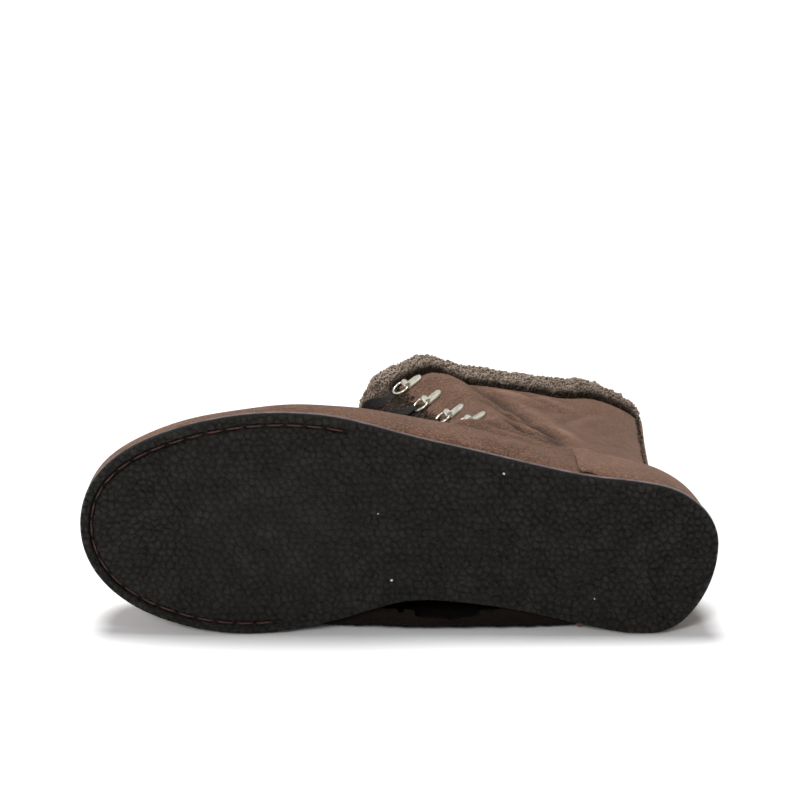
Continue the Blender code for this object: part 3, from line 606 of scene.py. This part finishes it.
def slumped(places):
    """Standing places moved as the shaft slumps, how deep a crease is there, and the shade."""
    x, y, z = places.T
    away = from_axis(places)[:, 1]
    outer, inner = smooth_step(away, 0.15, 0.65), smooth_step(-away, 0.15, 0.65)
    near_sole = smooth_step(z, 8, 22)
    push_outer = creased(places, OUTER_CREASES) * outer * near_sole
    push_inner = creased(places, INNER_CREASES) * inner * near_sole
    moved = places.copy()
    moved[:, 1] += push_outer - push_inner
    soft = np.sin(x * 0.11 + z * 0.05) * np.sin(z * 0.13 - x * 0.04)
    moved[:, 1] += 0.35 * soft * (outer - 0.3 * inner) * near_sole
    # the inner wall sags to the floor beside the arch, where the sole is narrow
    height = wall_height(places)
    sag = np.clip(height - 0.9, 0, 17) * smooth_step(z, 6.0, 9.6) * smooth_step(z, 60, 26)
    sag *= smooth_step(x, 44, 60) * smooth_step(x, 190, 166) * smooth_step(-away, -0.1, 0.45)
    moved[:, 1] -= sag
    moved[:, 2] -= 0.45 * sag * smooth_step(z, 32, 12)
    # the rim dips in its middle and rises at its rear corner
    dip = smooth_step(z, 172, 196) * smooth_step(x, 28, 52) * smooth_step(x, 120, 104)
    moved[:, 1] -= 3.2 * dip * outer
    corner = smooth_step(z, 160, 196) * smooth_step(x, 62, 40) * smooth_step(y, 38, 56)
    moved[:, 1] += 3.0 * corner
    # the outer quarter swells behind its clamps, and the lace draws its edge over the tongue
    _, far, _, side = nearest_on(THROAT_RIDGE, places[:, (0, 2)])
    lateral = smooth_step(y, 28, 46) * (1 - 0.45 * smooth_step(z, 182, 197))
    moved[:, 1] += 5.6 * lateral * swell(far, 0, 9.0)
    closing = smooth_step(far * side, -4, 16) * lateral * smooth_step(z, 116, 148)
    moved[:, 0] += 3.6 * closing
    moved[:, 1] -= 5.4 * closing
    # no light reaches the wall beside the arch
    shade = smooth_step(height, 1.5, 3.5) * smooth_step(z, 40, 24) * smooth_step(-away, -0.1, 0.2)
    shade *= smooth_step(x, 40, 52) * smooth_step(x, 196, 180)
    return moved, np.clip((push_outer + push_inner) / 2.0, -1, 1), shade


def slump_piece(piece):
    """Slumps a whole piece and keeps its creases for its finish."""
    moved, crease, shade = slumped(standing(points_of(piece)))
    place_points(piece, lying(moved))
    keep_values(piece, "crease", crease)
    return crease, shade


crease, shade = slump_piece(upper)
print("deepest crease", round(2 * crease.min(), 2), "mm")

# %% [markdown]
# The counter and the stay are overlays. They lie on the wall, so they slump with it. The
# counter's front edge is turned under, which makes it a little thicker there. The tongue and
# the insole are inside and keep their shape.

# %% Counter, stay, tongue and insole
counter = copy_of("heel_counter", "heel_counter_skin", rounds=3)
stay = copy_of("back_stay", "back_stay_skin", rounds=3)
tongue = copy_of("tongue", "tongue_skin")
even_skin(tongue, 0.0013, 6)
insole = copy_of("insole", "insole_skin")
places = standing(points_of(counter))
x, y, z = places.T
x -= 4.0 * smooth_step(x, 26, 60)
y += 0.8 * swell(x, 54.5, 2.4) * smooth_step(y, 40, 56)
place_points(counter, lying(places))
slump_piece(counter)
slump_piece(stay)
for piece in (counter, stay, insole):
    select_only(piece)
    bpy.ops.object.shade_smooth()
    print(piece.name, count(piece), "triangles")

# %% [markdown]
# Shearling is a mat of curled locks. It reads as fleece when it has three sizes of detail: the
# roll, its lumps, and the single locks that break its outline. The roll and the lumps are a
# displaced skin. Each lock is a small arch of a few faces, put at thousands of scattered places
# on the skin and joined into one mesh.

# %% Curled locks
LOCK_RINGS, LOCK_SIDES = 5, 3


def lock_shape(lean, reach, thick):
    """The rings of one curl, an arch that rises from the skin and goes back into it, in mm."""
    shape = np.zeros((LOCK_RINGS, LOCK_SIDES, 3))
    for k in range(LOCK_RINGS):
        turn = math.pi * (0.02 + 0.96 * (k / (LOCK_RINGS - 1)))
        middle = reach * np.array((math.cos(turn), lean * math.sin(turn), 1.15 * math.sin(turn)))
        outward = np.array((math.cos(turn), 0, math.sin(turn)))
        for n in range(LOCK_SIDES):
            angle = 2 * math.pi * n / LOCK_SIDES
            offset = math.cos(angle) * outward + math.sin(angle) * np.array((0, 1.0, 0))
            shape[k, n] = middle + thick * offset
    return shape


def locks(name, skin, number, length, thick, keep=None, lean=0.9):
    """Scatters curled locks over a skin and joins them into one mesh."""
    places, outward = standing(points_of(skin)), standing_normals(skin)
    chosen = np.arange(len(places)) if keep is None else np.nonzero(keep)[0]
    chosen = chance.choice(chosen, min(number, len(chosen)), replace=False)
    tubes = []
    for k in chosen:
        up = outward[k] + chance.normal(0, lean * 0.5, 3)
        up /= np.linalg.norm(up)
        across = np.cross(up, chance.normal(0, 1, 3))
        across /= np.linalg.norm(across)
        size = chance.uniform(0.65, 1.25)
        shape = lock_shape(chance.normal(0, 0.8), length * size, thick * size)
        turned = shape @ np.array((across, np.cross(up, across), up))
        tubes.append(places[k] - 0.25 * outward[k] + turned)
    piece = joined_tubes(name, tubes)
    heights = np.sin(np.linspace(0, math.pi, LOCK_RINGS))
    keep_values(piece, "tip", np.tile(np.repeat(heights, LOCK_SIDES), len(chosen)))
    select_only(piece)
    bpy.ops.object.shade_smooth()
    return piece

# %% Fleece rolls
def lumpy(piece, size, height):
    """Moves a skin out and in by soft lumps of about this size, in millimetres."""
    places, outward = standing(points_of(piece)), standing_normals(piece)
    low, high = places.min(0), places.max(0)
    number = int(np.prod(high - low + 2 * size) / size**3 * 1.5)
    tree = tree_of(chance.uniform(low - size, high + size, (number, 3)))
    near = np.array([tree.find(place)[2] for place in places])
    bulge = 1 - np.clip(near / size, 0, 1) ** 2
    place_points(piece, lying(places + outward * (bulge - 0.4)[:, None] * height))


collar = copy_of("collar_fleece", "collar_fleece_skin")
even_skin(collar, 0.0012, 3)
places = standing(points_of(collar))
x, y, z = places.T
upper_side = smooth_step(y, 36, 58)
at_rim = np.column_stack((x, y, np.minimum(z, 196)))
places += smooth_step(z, 216, 199)[:, None] * (slumped(at_rim)[0] - at_rim)
y += upper_side * (1.2 * swell(x, 46, 12) - 1.4 * swell(x, 84, 22) + 1.8 * swell(x, 122, 10))
x += 4.0 * upper_side * smooth_step(x, 106, 122)
x += 3.6 * smooth_step(x, 44, 30) * smooth_step(y, 8, 30)
place_points(collar, lying(places))
lumpy(collar, 3.0, 1.0)

tuft = copy_of("tongue_fleece", "tongue_fleece_skin")
even_skin(tuft, 0.0012, 3)
places = standing(points_of(tuft))
x, y, z = places.T
upper_end = smooth_step(y, 30, 56)
low_end = smooth_step(z, z.min() + 9, z.min())
y += 5.6 * upper_end
x -= 7.0 * upper_end * (1 - 0.7 * low_end)
z -= 2.4 * low_end
place_points(tuft, lying(places))
lumpy(tuft, 3.0, 1.0)

# %% Locks on the fleece, and where shade is painted on it
collar_locks = locks("collar_locks", collar, 7000, 0.85, 0.42)
tuft_locks = locks("tongue_locks", tuft, 2200, 0.85, 0.42)
tongue_places = standing(points_of(tongue))
tongue_front = (standing_normals(tongue) * from_axis(tongue_places)).sum(axis=1) > 0.3
tongue_front &= tongue_places[:, 2] > 120
tongue_pile = locks("tongue_pile", tongue, 4200, 0.9, 0.42, keep=tongue_front)
stay_points = standing(points_of(stay))
stay_tree = tree_of(stay_points)
upper_places = standing(points_of(upper))
beside = np.array([place[0] < 45 and stay_tree.find(place)[2] < 2.0 for place in upper_places])
beside &= (lining < 0.5) & (upper_places[:, 1] > stay_points[:, 1].mean())
beside &= upper_places[:, 2] > 80
seam_locks = locks("seam_locks", upper, 700, 0.8, 0.4, keep=beside)
suede_tree = tree_of(upper_places[(lining < 0.5) & (upper_places[:, 2] > 165)])
for piece in (collar, tuft, collar_locks, tuft_locks, tongue_pile, seam_locks):
    places = standing(points_of(piece))
    gaps = np.array([suede_tree.find(place)[2] for place in places])
    # painted shade: fleece near the suede's edge and down in the throat is darkened
    in_throat = 0.8 * smooth_step(places[:, 2], 192, 178)
    keep_values(piece, "painted_fleece_shade", np.maximum(smooth_step(gaps, 6.8, 3.4), in_throat))
    print(piece.name, count(piece), "triangles")

# %% [markdown]
# The lace is one flat woven band. It zigzags from the outer top ring down to the lowest pair,
# crosses there as a bar and zigzags up to the inner top ring. At each ring it goes over the
# wire and back underneath. In between it is slack: it bows out and turns its flat side to the
# sole.

# %% The rings that the lace runs through
LACE_WIDTH, LACE_THICKNESS, LACE_CLEARANCE = 5.8, 1.0, 4.2
METAL_SCALE = 0.86
SIDES = ("lateral", "medial")
PAIRS = 6


def square_axes(first, second):
    """Three axes at right angles: along first, towards second and across both."""
    first = first / np.linalg.norm(first)
    second = second - first * (second @ first)
    second = second / np.linalg.norm(second)
    return np.array((first, second, np.cross(first, second)))


def carried(places, side, number):
    """Carries places on a clamp or its ring, unbent, as far as the suede under it has moved."""
    centre = cad_places(f"clamp_{side}_{number}").mean(0)
    to_ring = cad_places(f"d_ring_{side}_{number}").mean(0) - centre
    old = square_axes(to_ring, np.array((-0.35, 0.0, 1.0)))
    probes = [centre] + [centre + reach * axis for axis in old[:2] for reach in (4, -4)]
    probes = slumped(np.array(probes))[0]
    new = square_axes(probes[1] - probes[2], probes[3] - probes[4])
    return probes[0] + METAL_SCALE * ((places - centre) @ old.T) @ new


rings_at = {}
for side in SIDES:
    for number in range(1, PAIRS + 1):
        wire, plate = (
            carried(cad_places(f"{kind}_{side}_{number}"), side, number)
            for kind in ("d_ring", "clamp")
        )
        to_middle = wire.mean(0) - plate.mean(0)
        to_middle /= np.linalg.norm(to_middle)
        far = wire[(wire @ to_middle) > np.max(wire @ to_middle) - 1.2]
        along = far[np.argmax(far[:, 2])] - far[np.argmin(far[:, 2])]
        along -= to_middle * (along @ to_middle)
        along /= np.linalg.norm(along)
        out = np.cross(to_middle, along)
        if out @ from_axis(far.mean(0)[None])[0] < 0:
            out = -out
        rings_at[side, number] = (far.mean(0) - 0.3 * to_middle, to_middle, along, out)
print("ring 1 at", rings_at["lateral", 1][0].round(1))

# %% The lace's way and its twist
AROUND = 1.35  # from the middle of the wire to the middle of the lace


def round_wire(ring, degrees):
    """Places on the lace's bend round a ring's wire."""
    centre, inward, _, out = ring
    turns = np.radians(degrees)[:, None]
    return list(centre + AROUND * (np.cos(turns) * inward + np.sin(turns) * out))


def lace_way():
    """Points all along the lace, its width directions, and how loose and how turned it is."""
    order = [(SIDES[k % 2], k + 1) for k in range(PAIRS)]
    order += [(SIDES[(k + 1) % 2], k + 1) for k in reversed(range(PAIRS))]
    points, widths, free = [], [], []
    for place, (now, following) in enumerate(zip(order, order[1:])):
        centre, inward, along, out = rings_at[now]
        next_centre, next_inward, next_along, next_out = rings_at[following]
        points += round_wire(rings_at[now], (178, 215, 250, 282))
        widths += [along] * 4
        free += [(0, 0)] * 4
        bar = now[1] == following[1]
        start = centre + AROUND * (0.5 * inward - 0.8 * out) + 1.6 * inward
        end = next_centre + AROUND * (0.5 * next_inward + 0.85 * next_out) + 1.2 * next_inward
        front = from_axis((0.5 * (start + end))[None])[0]
        bow = 2.0 if bar else (7.0 if place < PAIRS else 4.5)
        for share in np.linspace(0, 1, 15):
            bowed = front * bow * math.sin(math.pi * share) ** 0.75
            points.append(blended(start, end, share) + bowed)
            widths.append(blended(along, next_along, share))
            loose = smooth_step(share, 0.03, 0.2) * smooth_step(share, 0.97, 0.85)
            outside = share if now[0] == "medial" else 1 - share
            turn = smooth_step(share, 0.0, 0.16) * smooth_step(share, 1.0, 0.84)
            turn *= 0.0 if bar else 0.5 + 0.95 * smooth_step(outside, 0.25, 0.6)
            free.append((loose, turn))
        points += round_wire(rings_at[following], (75, 110, 145))
        widths += [next_along] * 3
        free += [(0, 0)] * 3
    return np.array(points), np.array(widths), np.array(free)


def spaced(way, *others, step=0.55):
    """A smooth way through points at an even step, with other rows read at the same places."""
    travelled = run_lengths(way)
    wanted = np.arange(0, travelled[-1], step)
    made = []
    for row in (way, *others):
        fine = np.stack([np.interp(wanted, travelled, column) for column in row.T], axis=1)
        for _ in range(4):
            fine[1:-1] = 0.25 * fine[:-2] + 0.5 * fine[1:-1] + 0.25 * fine[2:]
        made.append(fine)
    return wanted, made

# %% Lace
travelled, (way, widths, free) = spaced(*lace_way())
tongue_skin = bvhtree.BVHTree.FromPolygons(
    standing(points_of(tongue)).tolist(), [list(face.vertices) for face in tongue.data.polygons]
)
# the lace is evened out along and across the foot, and not in height
even = np.column_stack((free, np.zeros(len(free))))
for _ in range(8):
    for k, place in enumerate(way):
        nearest, _, _, _ = tongue_skin.find_nearest(place)
        outward = from_axis(place[None])[0]
        wanted = LACE_CLEARANCE + 3.0 * smooth_step(place[1], 26, 42)
        lacking = wanted - (place - np.array(nearest)) @ outward
        if lacking > 0 and free[k, 0] > 0:
            way[k] += 0.6 * min(lacking, 4) * free[k, 0] * outward
    for _ in range(3):
        smooth = 0.25 * way[:-2] + 0.5 * way[1:-1] + 0.25 * way[2:]
        way[1:-1] += (smooth - way[1:-1]) * even[1:-1]
ahead = np.gradient(way, axis=0)
ahead /= np.linalg.norm(ahead, axis=1)[:, None]
widths -= ahead * (widths * ahead).sum(1)[:, None]
widths /= np.linalg.norm(widths, axis=1)[:, None]
flats = np.cross(ahead, widths)
outwards = np.sign((flats * from_axis(way)).sum(1))[:, None]
flats *= np.where(free[:, :1] > 0.02, outwards, 1)
cosine, sine = np.cos(free[:, 1:]), np.sin(free[:, 1:])
widths, flats = widths * cosine + flats * sine, flats * cosine - widths * sine
for k in range(1, len(flats)):
    if flats[k] @ flats[k - 1] < 0:
        flats[k:] *= -1

# %% The ribbon's woven skin
RIBS = 9
WEAVE_PITCH = 1.5
profile = []
for k in range(4 * RIBS + 1):
    across = k / (4 * RIBS)
    dome = (1 - abs(2 * across - 1) ** 6) ** 0.5
    rib = 0.10 * math.cos(2 * math.pi * RIBS * across)
    profile.append((LACE_WIDTH * (across - 0.5), 0.5 * LACE_THICKNESS * dome * (1 + rib)))
profile += [(u, -v) for u, v in reversed(profile[1:-1])]
profile = np.array(profile)[None]
beat = 1 + 0.10 * np.sin(travelled * 2 * math.pi / WEAVE_PITCH)[:, None, None]
lace_rows = way[:, None] + widths[:, None] * profile[..., :1]
lace_rows += flats[:, None] * (profile[..., 1:] * beat)
ends = [np.repeat(row.mean(0)[None, None], len(row), axis=1) for row in (lace_rows[0], lace_rows[-1])]
lace = grid_piece("lace_skin", closed(np.concatenate((ends[0], lace_rows, ends[1]))))
weld(lace)
print("lace", count(lace), "triangles,", round(travelled[-1]), "mm long")

# %% [markdown]
# Clamps and rings are hard, so they keep their shape. Each pair is carried as one piece, as far
# as the suede under it has moved and turned.

# %% Metal
metal = []
for side in SIDES:
    for number in range(1, PAIRS + 1):
        for kind, rounds in (("d_ring", 2), ("clamp", 0)):
            node = f"{kind}_{side}_{number}"
            piece = copy_of(node, f"{kind}_skin_{side}_{number}", rounds=rounds)
            if kind == "clamp":
                bevel = {"limit_method": "ANGLE", "angle_limit": 0.6}
                apply_modifier(piece, "BEVEL", width=0.00022, segments=2, **bevel)
            place_points(piece, lying(carried(standing(points_of(piece)), side, number)))
            select_only(piece)
            bpy.ops.object.shade_smooth_by_angle(angle=math.radians(35))
            metal.append((piece, node))
print(len(metal), "rings and clamps")

# %% [markdown]
# A finish is a small tree of shader nodes, which is long and hard to read node by node. So one
# class wraps an output socket: sums and products of wires add their Math nodes, and one method
# adds any other node from its kind, its inputs and its settings.

# %% A class for shader sums
class Wire:
    """One output of a material's tree."""

    def __init__(self, tree, socket=None):
        self.tree, self.socket = tree, socket

    def make(self, kind, inputs, output=0, **settings):
        """Adds a node, with its settings first and then its inputs, and returns one output."""
        node = self.tree.nodes.new("ShaderNode" + kind)
        for name, value in settings.items():
            setattr(node, name, value)
        for name, value in inputs.items():
            if isinstance(value, Wire):
                self.tree.links.new(value.socket, node.inputs[name])
            else:
                node.inputs[name].default_value = value
        return Wire(self.tree, node.outputs[output])

    def maths(self, operation, *values):
        return self.make("Math", dict(enumerate(values)), operation=operation)

    def __add__(self, other):
        return self.maths("ADD", self, other)

    def __sub__(self, other):
        return self.maths("SUBTRACT", self, other)

    def __rsub__(self, other):
        return self.maths("SUBTRACT", other, self)

    def __mul__(self, other):
        return self.maths("MULTIPLY", self, other)

    def __pow__(self, other):
        return self.maths("POWER", self, other)

    __radd__, __rmul__ = __add__, __mul__

    def ranged(self, low, high, to_low=0.0, to_high=1.0):
        """Maps low to high softly onto two other numbers."""
        inputs = {"Value": self, 1: low, 2: high, 3: to_low, 4: to_high}
        return self.make("MapRange", inputs, interpolation_type="SMOOTHSTEP")

    def tint(self, first, second):
        """A colour between two, each a wire or plain numbers, by this wire's value."""
        first, second = (tone if isinstance(tone, Wire) else colour(*tone) for tone in (first, second))
        return self.make("Mix", {0: self, 6: first, 7: second}, output=2, data_type="RGBA")

    def noise(self, size, detail=3.0, roughness=0.5):
        """Noise whose blotches are about this many metres, around 0.5."""
        inputs = {"Vector": self, "Scale": 1 / size, "Detail": detail, "Roughness": roughness}
        return self.make("TexNoise", inputs)

    def attribute(self, name):
        return self.make("Attribute", {}, output=2, attribute_name=name)

    def bump(self, metres, strength=1.0):
        """A normal that reads this wire as a height, from 0 to 1, of this many metres."""
        return self.make("Bump", {"Height": self, "Distance": metres, "Strength": strength})


def colour(red, green, blue):
    """A colour from the 0 to 255 that a screen shows, made linear for the shader."""
    shown = np.array((red, green, blue)) / 255
    linear = np.where(shown <= 0.04045, shown / 12.92, ((shown + 0.055) / 1.055) ** 2.4)
    return (*linear, 1.0)


def new_finish(name, **constants):
    """A material with numbers set on its shader, its shader and its Object coordinates."""
    material = bpy.data.materials.new(name)
    material.use_nodes = True
    shader = material.node_tree.nodes["Principled BSDF"]
    for socket, value in constants.items():
        shader.inputs[socket.replace("_", " ")].default_value = value
    return material, shader, Wire(material.node_tree).make("TexCoord", {}, output=3)


def feed(shader, **wires):
    """Links wires to the sockets of a shader by name."""
    for socket, wire in wires.items():
        wire.tree.links.new(wire.socket, shader.inputs[socket.replace("_", " ")])

# %% [markdown]
# Suede is leather with its fibres raised. It doesn't shine, but the fibre tips catch grazing
# light, so its rims look pale: that is sheen. Where it was brushed one way or the other it is
# lighter or darker, in soft clouds, and up close it is finely grained.

# %% Suede
def suede_finish(name, dark, light, pale, sheen=0.35):
    """Brown suede from its darkest, its usual and its palest colour."""
    material, shader, place = new_finish(
        name, Roughness=0.95, Sheen_Weight=sheen, Sheen_Roughness=0.45,
        Sheen_Tint=colour(235, 200, 180), Specular_IOR_Level=0.1,
    )
    clouds = place.noise(0.026, 4.0, 0.6).ranged(0.34, 0.66)
    brushed = place.noise(0.0045, 3.0, 0.65).ranged(0.32, 0.70)
    nap = place.noise(0.0009, 2.0, 0.7)
    crease = place.attribute("crease")
    base = (clouds * 0.5 + brushed * 0.5).tint(dark, light)
    base = nap.ranged(0.48, 0.64, 0.0, 0.5).tint(base, pale)
    base = nap.ranged(0.5, 0.36, 0.0, 0.5).tint(base, dark)
    # painted light and shade: crease ridges are tinted paler, partly as rubbed wear, and crease troughs
    # darker as painted shade
    base = crease.ranged(0.0, 1.0, 0.0, 0.6).tint(base, pale)
    base = crease.ranged(0.0, -1.0, 0.0, 0.8).tint(base, (40, 28, 22))
    feed(shader, Base_Color=base, Roughness=brushed.ranged(0.0, 1.0, 0.88, 0.98))
    grain = nap * 0.55 + place.noise(0.0030, 3.0, 0.6) * 0.45
    feed(shader, Normal=grain.bump(0.0014, 0.9))
    return material


suede = suede_finish("suede", (57, 38, 28), (96, 69, 55), (140, 110, 92))
dark_suede = suede_finish("dark_suede", (42, 34, 29), (58, 46, 40), (80, 66, 58))
# painted shadow: a near-black suede without sheen stands in for the shadow on the wall beside the arch
painted_shadow_suede = suede_finish("painted_shadow_suede", (14, 10, 8), (20, 14, 11), (28, 20, 16), sheen=0.0)
counter_suede = suede_finish("counter_suede", (70, 50, 39), (107, 80, 66), (142, 112, 95))

# %% [markdown]
# The crepe is nearly black and dusty in soft clouds, and its cracks are painted blacker as painted
# shade. A paler strip goes round its side, partly its own colour and partly a painted reflection
# of the light from above, and a few light grains of grit are stuck in the tread.

# %% Rubber
tread_finish, shader, place = new_finish("crepe_rubber", Roughness=0.36, Specular_IOR_Level=0.14)
grain, side = place.attribute("grain"), place.attribute("side")
dust = place.noise(0.012, 4.0, 0.6).ranged(0.4, 0.75)
fine = place.noise(0.0009, 3.0, 0.6)
black = (dust * 0.5 + fine * 0.3).tint((21, 19, 17), (44, 41, 37))
# painted shade: the cracks between the grains are tinted near black
black = grain.ranged(-0.25, 0.85).tint((6, 6, 6), black)
rare = place.noise(0.011, 1.0, 0.5).ranged(0.68, 0.70)
grit = place.make("TexVoronoi", {"Vector": place, "Scale": 170.0}).ranged(0.11, 0.08)
black = (grit * rare).tint(black, (192, 192, 187))
# partly painted reflection: the side's paler strip stands partly for light from above reflected off the
# smooth rubber
strip = place.noise(0.004, 3.0, 0.6).ranged(0.3, 0.7).tint((92, 81, 79), (123, 109, 108))
rubber_colour = side.ranged(0.3, 0.7).tint(black, strip)
feed(shader, Base_Color=rubber_colour, Roughness=fine.ranged(0.2, 0.8, 0.34, 0.55))
crinkle = place.noise(0.0019, 2.0, 0.5)
tread_height = (crinkle * 0.6 + fine * 0.4) * side.ranged(0.9, 0.5, 0.15, 1.0)
feed(shader, Normal=tread_height.bump(0.0026, 1.0))

# %% [markdown]
# Fleece is dark between its curls, and each lock is painted paler towards its tip as painted light.
# Beside the suede's edge, and down in the throat, little light gets in, and there the fleece is
# darkened as painted shade.

# %% Fleece
def fleece_finish(name, dark, light, deep):
    material, shader, place = new_finish(
        name, Roughness=0.95, Sheen_Weight=0.2, Sheen_Roughness=0.5,
        Sheen_Tint=colour(220, 190, 165), Specular_IOR_Level=0.1,
    )
    curls = place.noise(0.0028, 4.0, 0.65)
    hairs = place.noise(0.0006, 3.0, 0.7)
    tone = (curls * 0.6 + hairs * 0.4).ranged(0.35, 0.65)
    patches = place.noise(0.015, 2.0, 0.5).ranged(0.35, 0.65)
    base = tone.tint(deep, patches.tint(dark, light))
    # painted light: each lock is tinted paler towards its tip, where light falls on it
    base = (place.attribute("tip") ** 2.0 * 0.45).tint(base, light)
    base = place.attribute("painted_fleece_shade").tint(base, (35, 28, 23))
    feed(shader, Base_Color=base, Normal=(curls * 0.7 + hairs * 0.3).bump(0.0016, 0.8))
    return material


fleece = fleece_finish("fleece", (141, 125, 111), (175, 161, 147), (88, 74, 64))
# painted shade: a darker copy of the fleece, for fleece in the shade inside the shaft and on the tongue in
# the throat
shaded_lining_fleece = fleece_finish("shaded_lining_fleece", (64, 54, 47), (86, 75, 66), (38, 32, 27))

# %% Thread, metal, lace and insole
def mottled(name, noise, dark, light, **constants):
    """A finish mottled between two colours, its shader and what mottles it."""
    material, shader, place = new_finish(name, **constants)
    spots = place.noise(*noise)
    feed(shader, Base_Color=spots.ranged(0.3, 0.7).tint(dark, light))
    return material, shader, spots


thread, _, _ = mottled(
    "thread", (0.0008, 2.0, 0.6), (38, 24, 20), (72, 48, 42),
    Roughness=0.7, Specular_IOR_Level=0.2,
)
nickel, shader, scratches = mottled(
    "nickel", (0.004, 3.0, 0.6), (214, 210, 194), (236, 232, 218), Metallic=0.6
)
feed(shader, Roughness=scratches.ranged(0.3, 0.7, 0.2, 0.34))
lace_finish, shader, fibres = mottled(
    "lace_cloth", (0.0007, 3.0, 0.6), (23, 21, 20), (42, 38, 36),
    Roughness=0.85, Sheen_Weight=0.08, Specular_IOR_Level=0.1,
)
feed(shader, Normal=fibres.bump(0.0004, 0.7))
sock, _, _ = mottled(
    "sock", (0.002, 4.0, 0.7), (60, 50, 44), (96, 82, 72),
    Roughness=0.95, Sheen_Weight=0.3,
)

# %% [markdown]
# Now every piece gets its finish and rides on the root body, and the CAD solid it stands for is
# hidden. The upper has three finishes, chosen face by face.

# %% Finishes, bodies and slots
PIECES = (
    # piece, finish, the CAD node it stands for, slot
    (outsole, tread_finish, "outsole", "rubber"),
    (upper, suede, "upper", "suede"),
    (counter, counter_suede, "heel_counter", "suede"),
    (stay, suede, "back_stay", "dark_suede"),
    (tongue, dark_suede, "tongue", "dark_suede"),
    (insole, sock, "insole", "insole_brown"),
    (collar, fleece, "collar_fleece", "fleece"),
    (tuft, fleece, "tongue_fleece", "fleece"),
    (lace, lace_finish, "lace", "lace_grey"),
    *((piece, nickel, node, "nickel") for piece, node in metal),
    (collar_locks, fleece, None, "fleece"),
    (tuft_locks, fleece, None, "fleece"),
    (tongue_pile, shaded_lining_fleece, None, "fleece"),
    (seam_locks, fleece, None, "fleece"),
    (sole_stitches, thread, None, "lace_grey"),
)
for piece, finish, node, slot in PIECES:
    piece.data.materials.append(finish)
    if node:
        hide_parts(node)
    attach(piece, "root")
upper.data.materials.append(shaded_lining_fleece)
upper.data.materials.append(painted_shadow_suede)
# faces in the painted shadow beside the arch take the near-black suede, and lining faces take the fleece
indices = np.zeros(len(upper.data.polygons), int)
for face in upper.data.polygons:
    corners = list(face.vertices)
    indices[face.index] = 2 if shade[corners].mean() > 0.5 else int(lining[corners].mean() > 0.5)
upper.data.polygons.foreach_set("material_index", indices)
print(len(PIECES), "pieces,", sum(count(row[0]) for row in PIECES), "triangles")

# %% [markdown]
# The camera looks at the tread from a little above the floor, from far off through a long lens.
# The light is that of a white room: a broad lamp overhead, a weak one in front, and a pale
# floor that throws it back.

# %% Camera
PICTURE_SIZE = 800
FOCAL_LENGTH = 3016.26  # in pixels of the picture
camera_data = bpy.data.cameras.new("camera")
camera_data.sensor_width = 36
camera_data.lens = FOCAL_LENGTH / PICTURE_SIZE * camera_data.sensor_width
camera = linked("camera", camera_data)
camera.location = (0.0009, -1.30863, 0.44795)
camera.rotation_euler = (math.radians(74), 0, 0)
bpy.context.scene.camera = camera

# %% Floor and light
bpy.ops.mesh.primitive_plane_add(size=12, location=(0, 2, -0.0004))
floor = bpy.context.object
floor.name = "floor"
floor_finish, _, _ = new_finish("paper", Roughness=0.9, Base_Color=(0.95, 0.95, 0.95, 1))
floor.data.materials.append(floor_finish)
world = bpy.data.worlds.new("studio")
bpy.context.scene.world = world
world.use_nodes = True
background = world.node_tree.nodes["Background"].inputs
background["Color"].default_value = (1, 1, 1, 1)
background["Strength"].default_value = 0.27

sun = bpy.data.lights.new("ceiling", "SUN")
sun.energy = 3.25
sun.angle = math.radians(22)
ceiling = linked("ceiling", sun)
ceiling.rotation_euler = (math.radians(-9), math.radians(-6), 0)
panel = bpy.data.lights.new("front", "AREA")
panel.size = 0.5
panel.energy = 26
front = linked("front", panel)
front.location = (-0.7, -1.9, 0.95)
front.rotation_mode = "QUATERNION"
front.rotation_quaternion = (front.location - Vector((0, 0, 0.03))).to_track_quat("Z", "Y")
bpy.context.scene.view_settings.view_transform = "Standard"

# %% Update the scene
bpy.context.view_layer.update()
import json
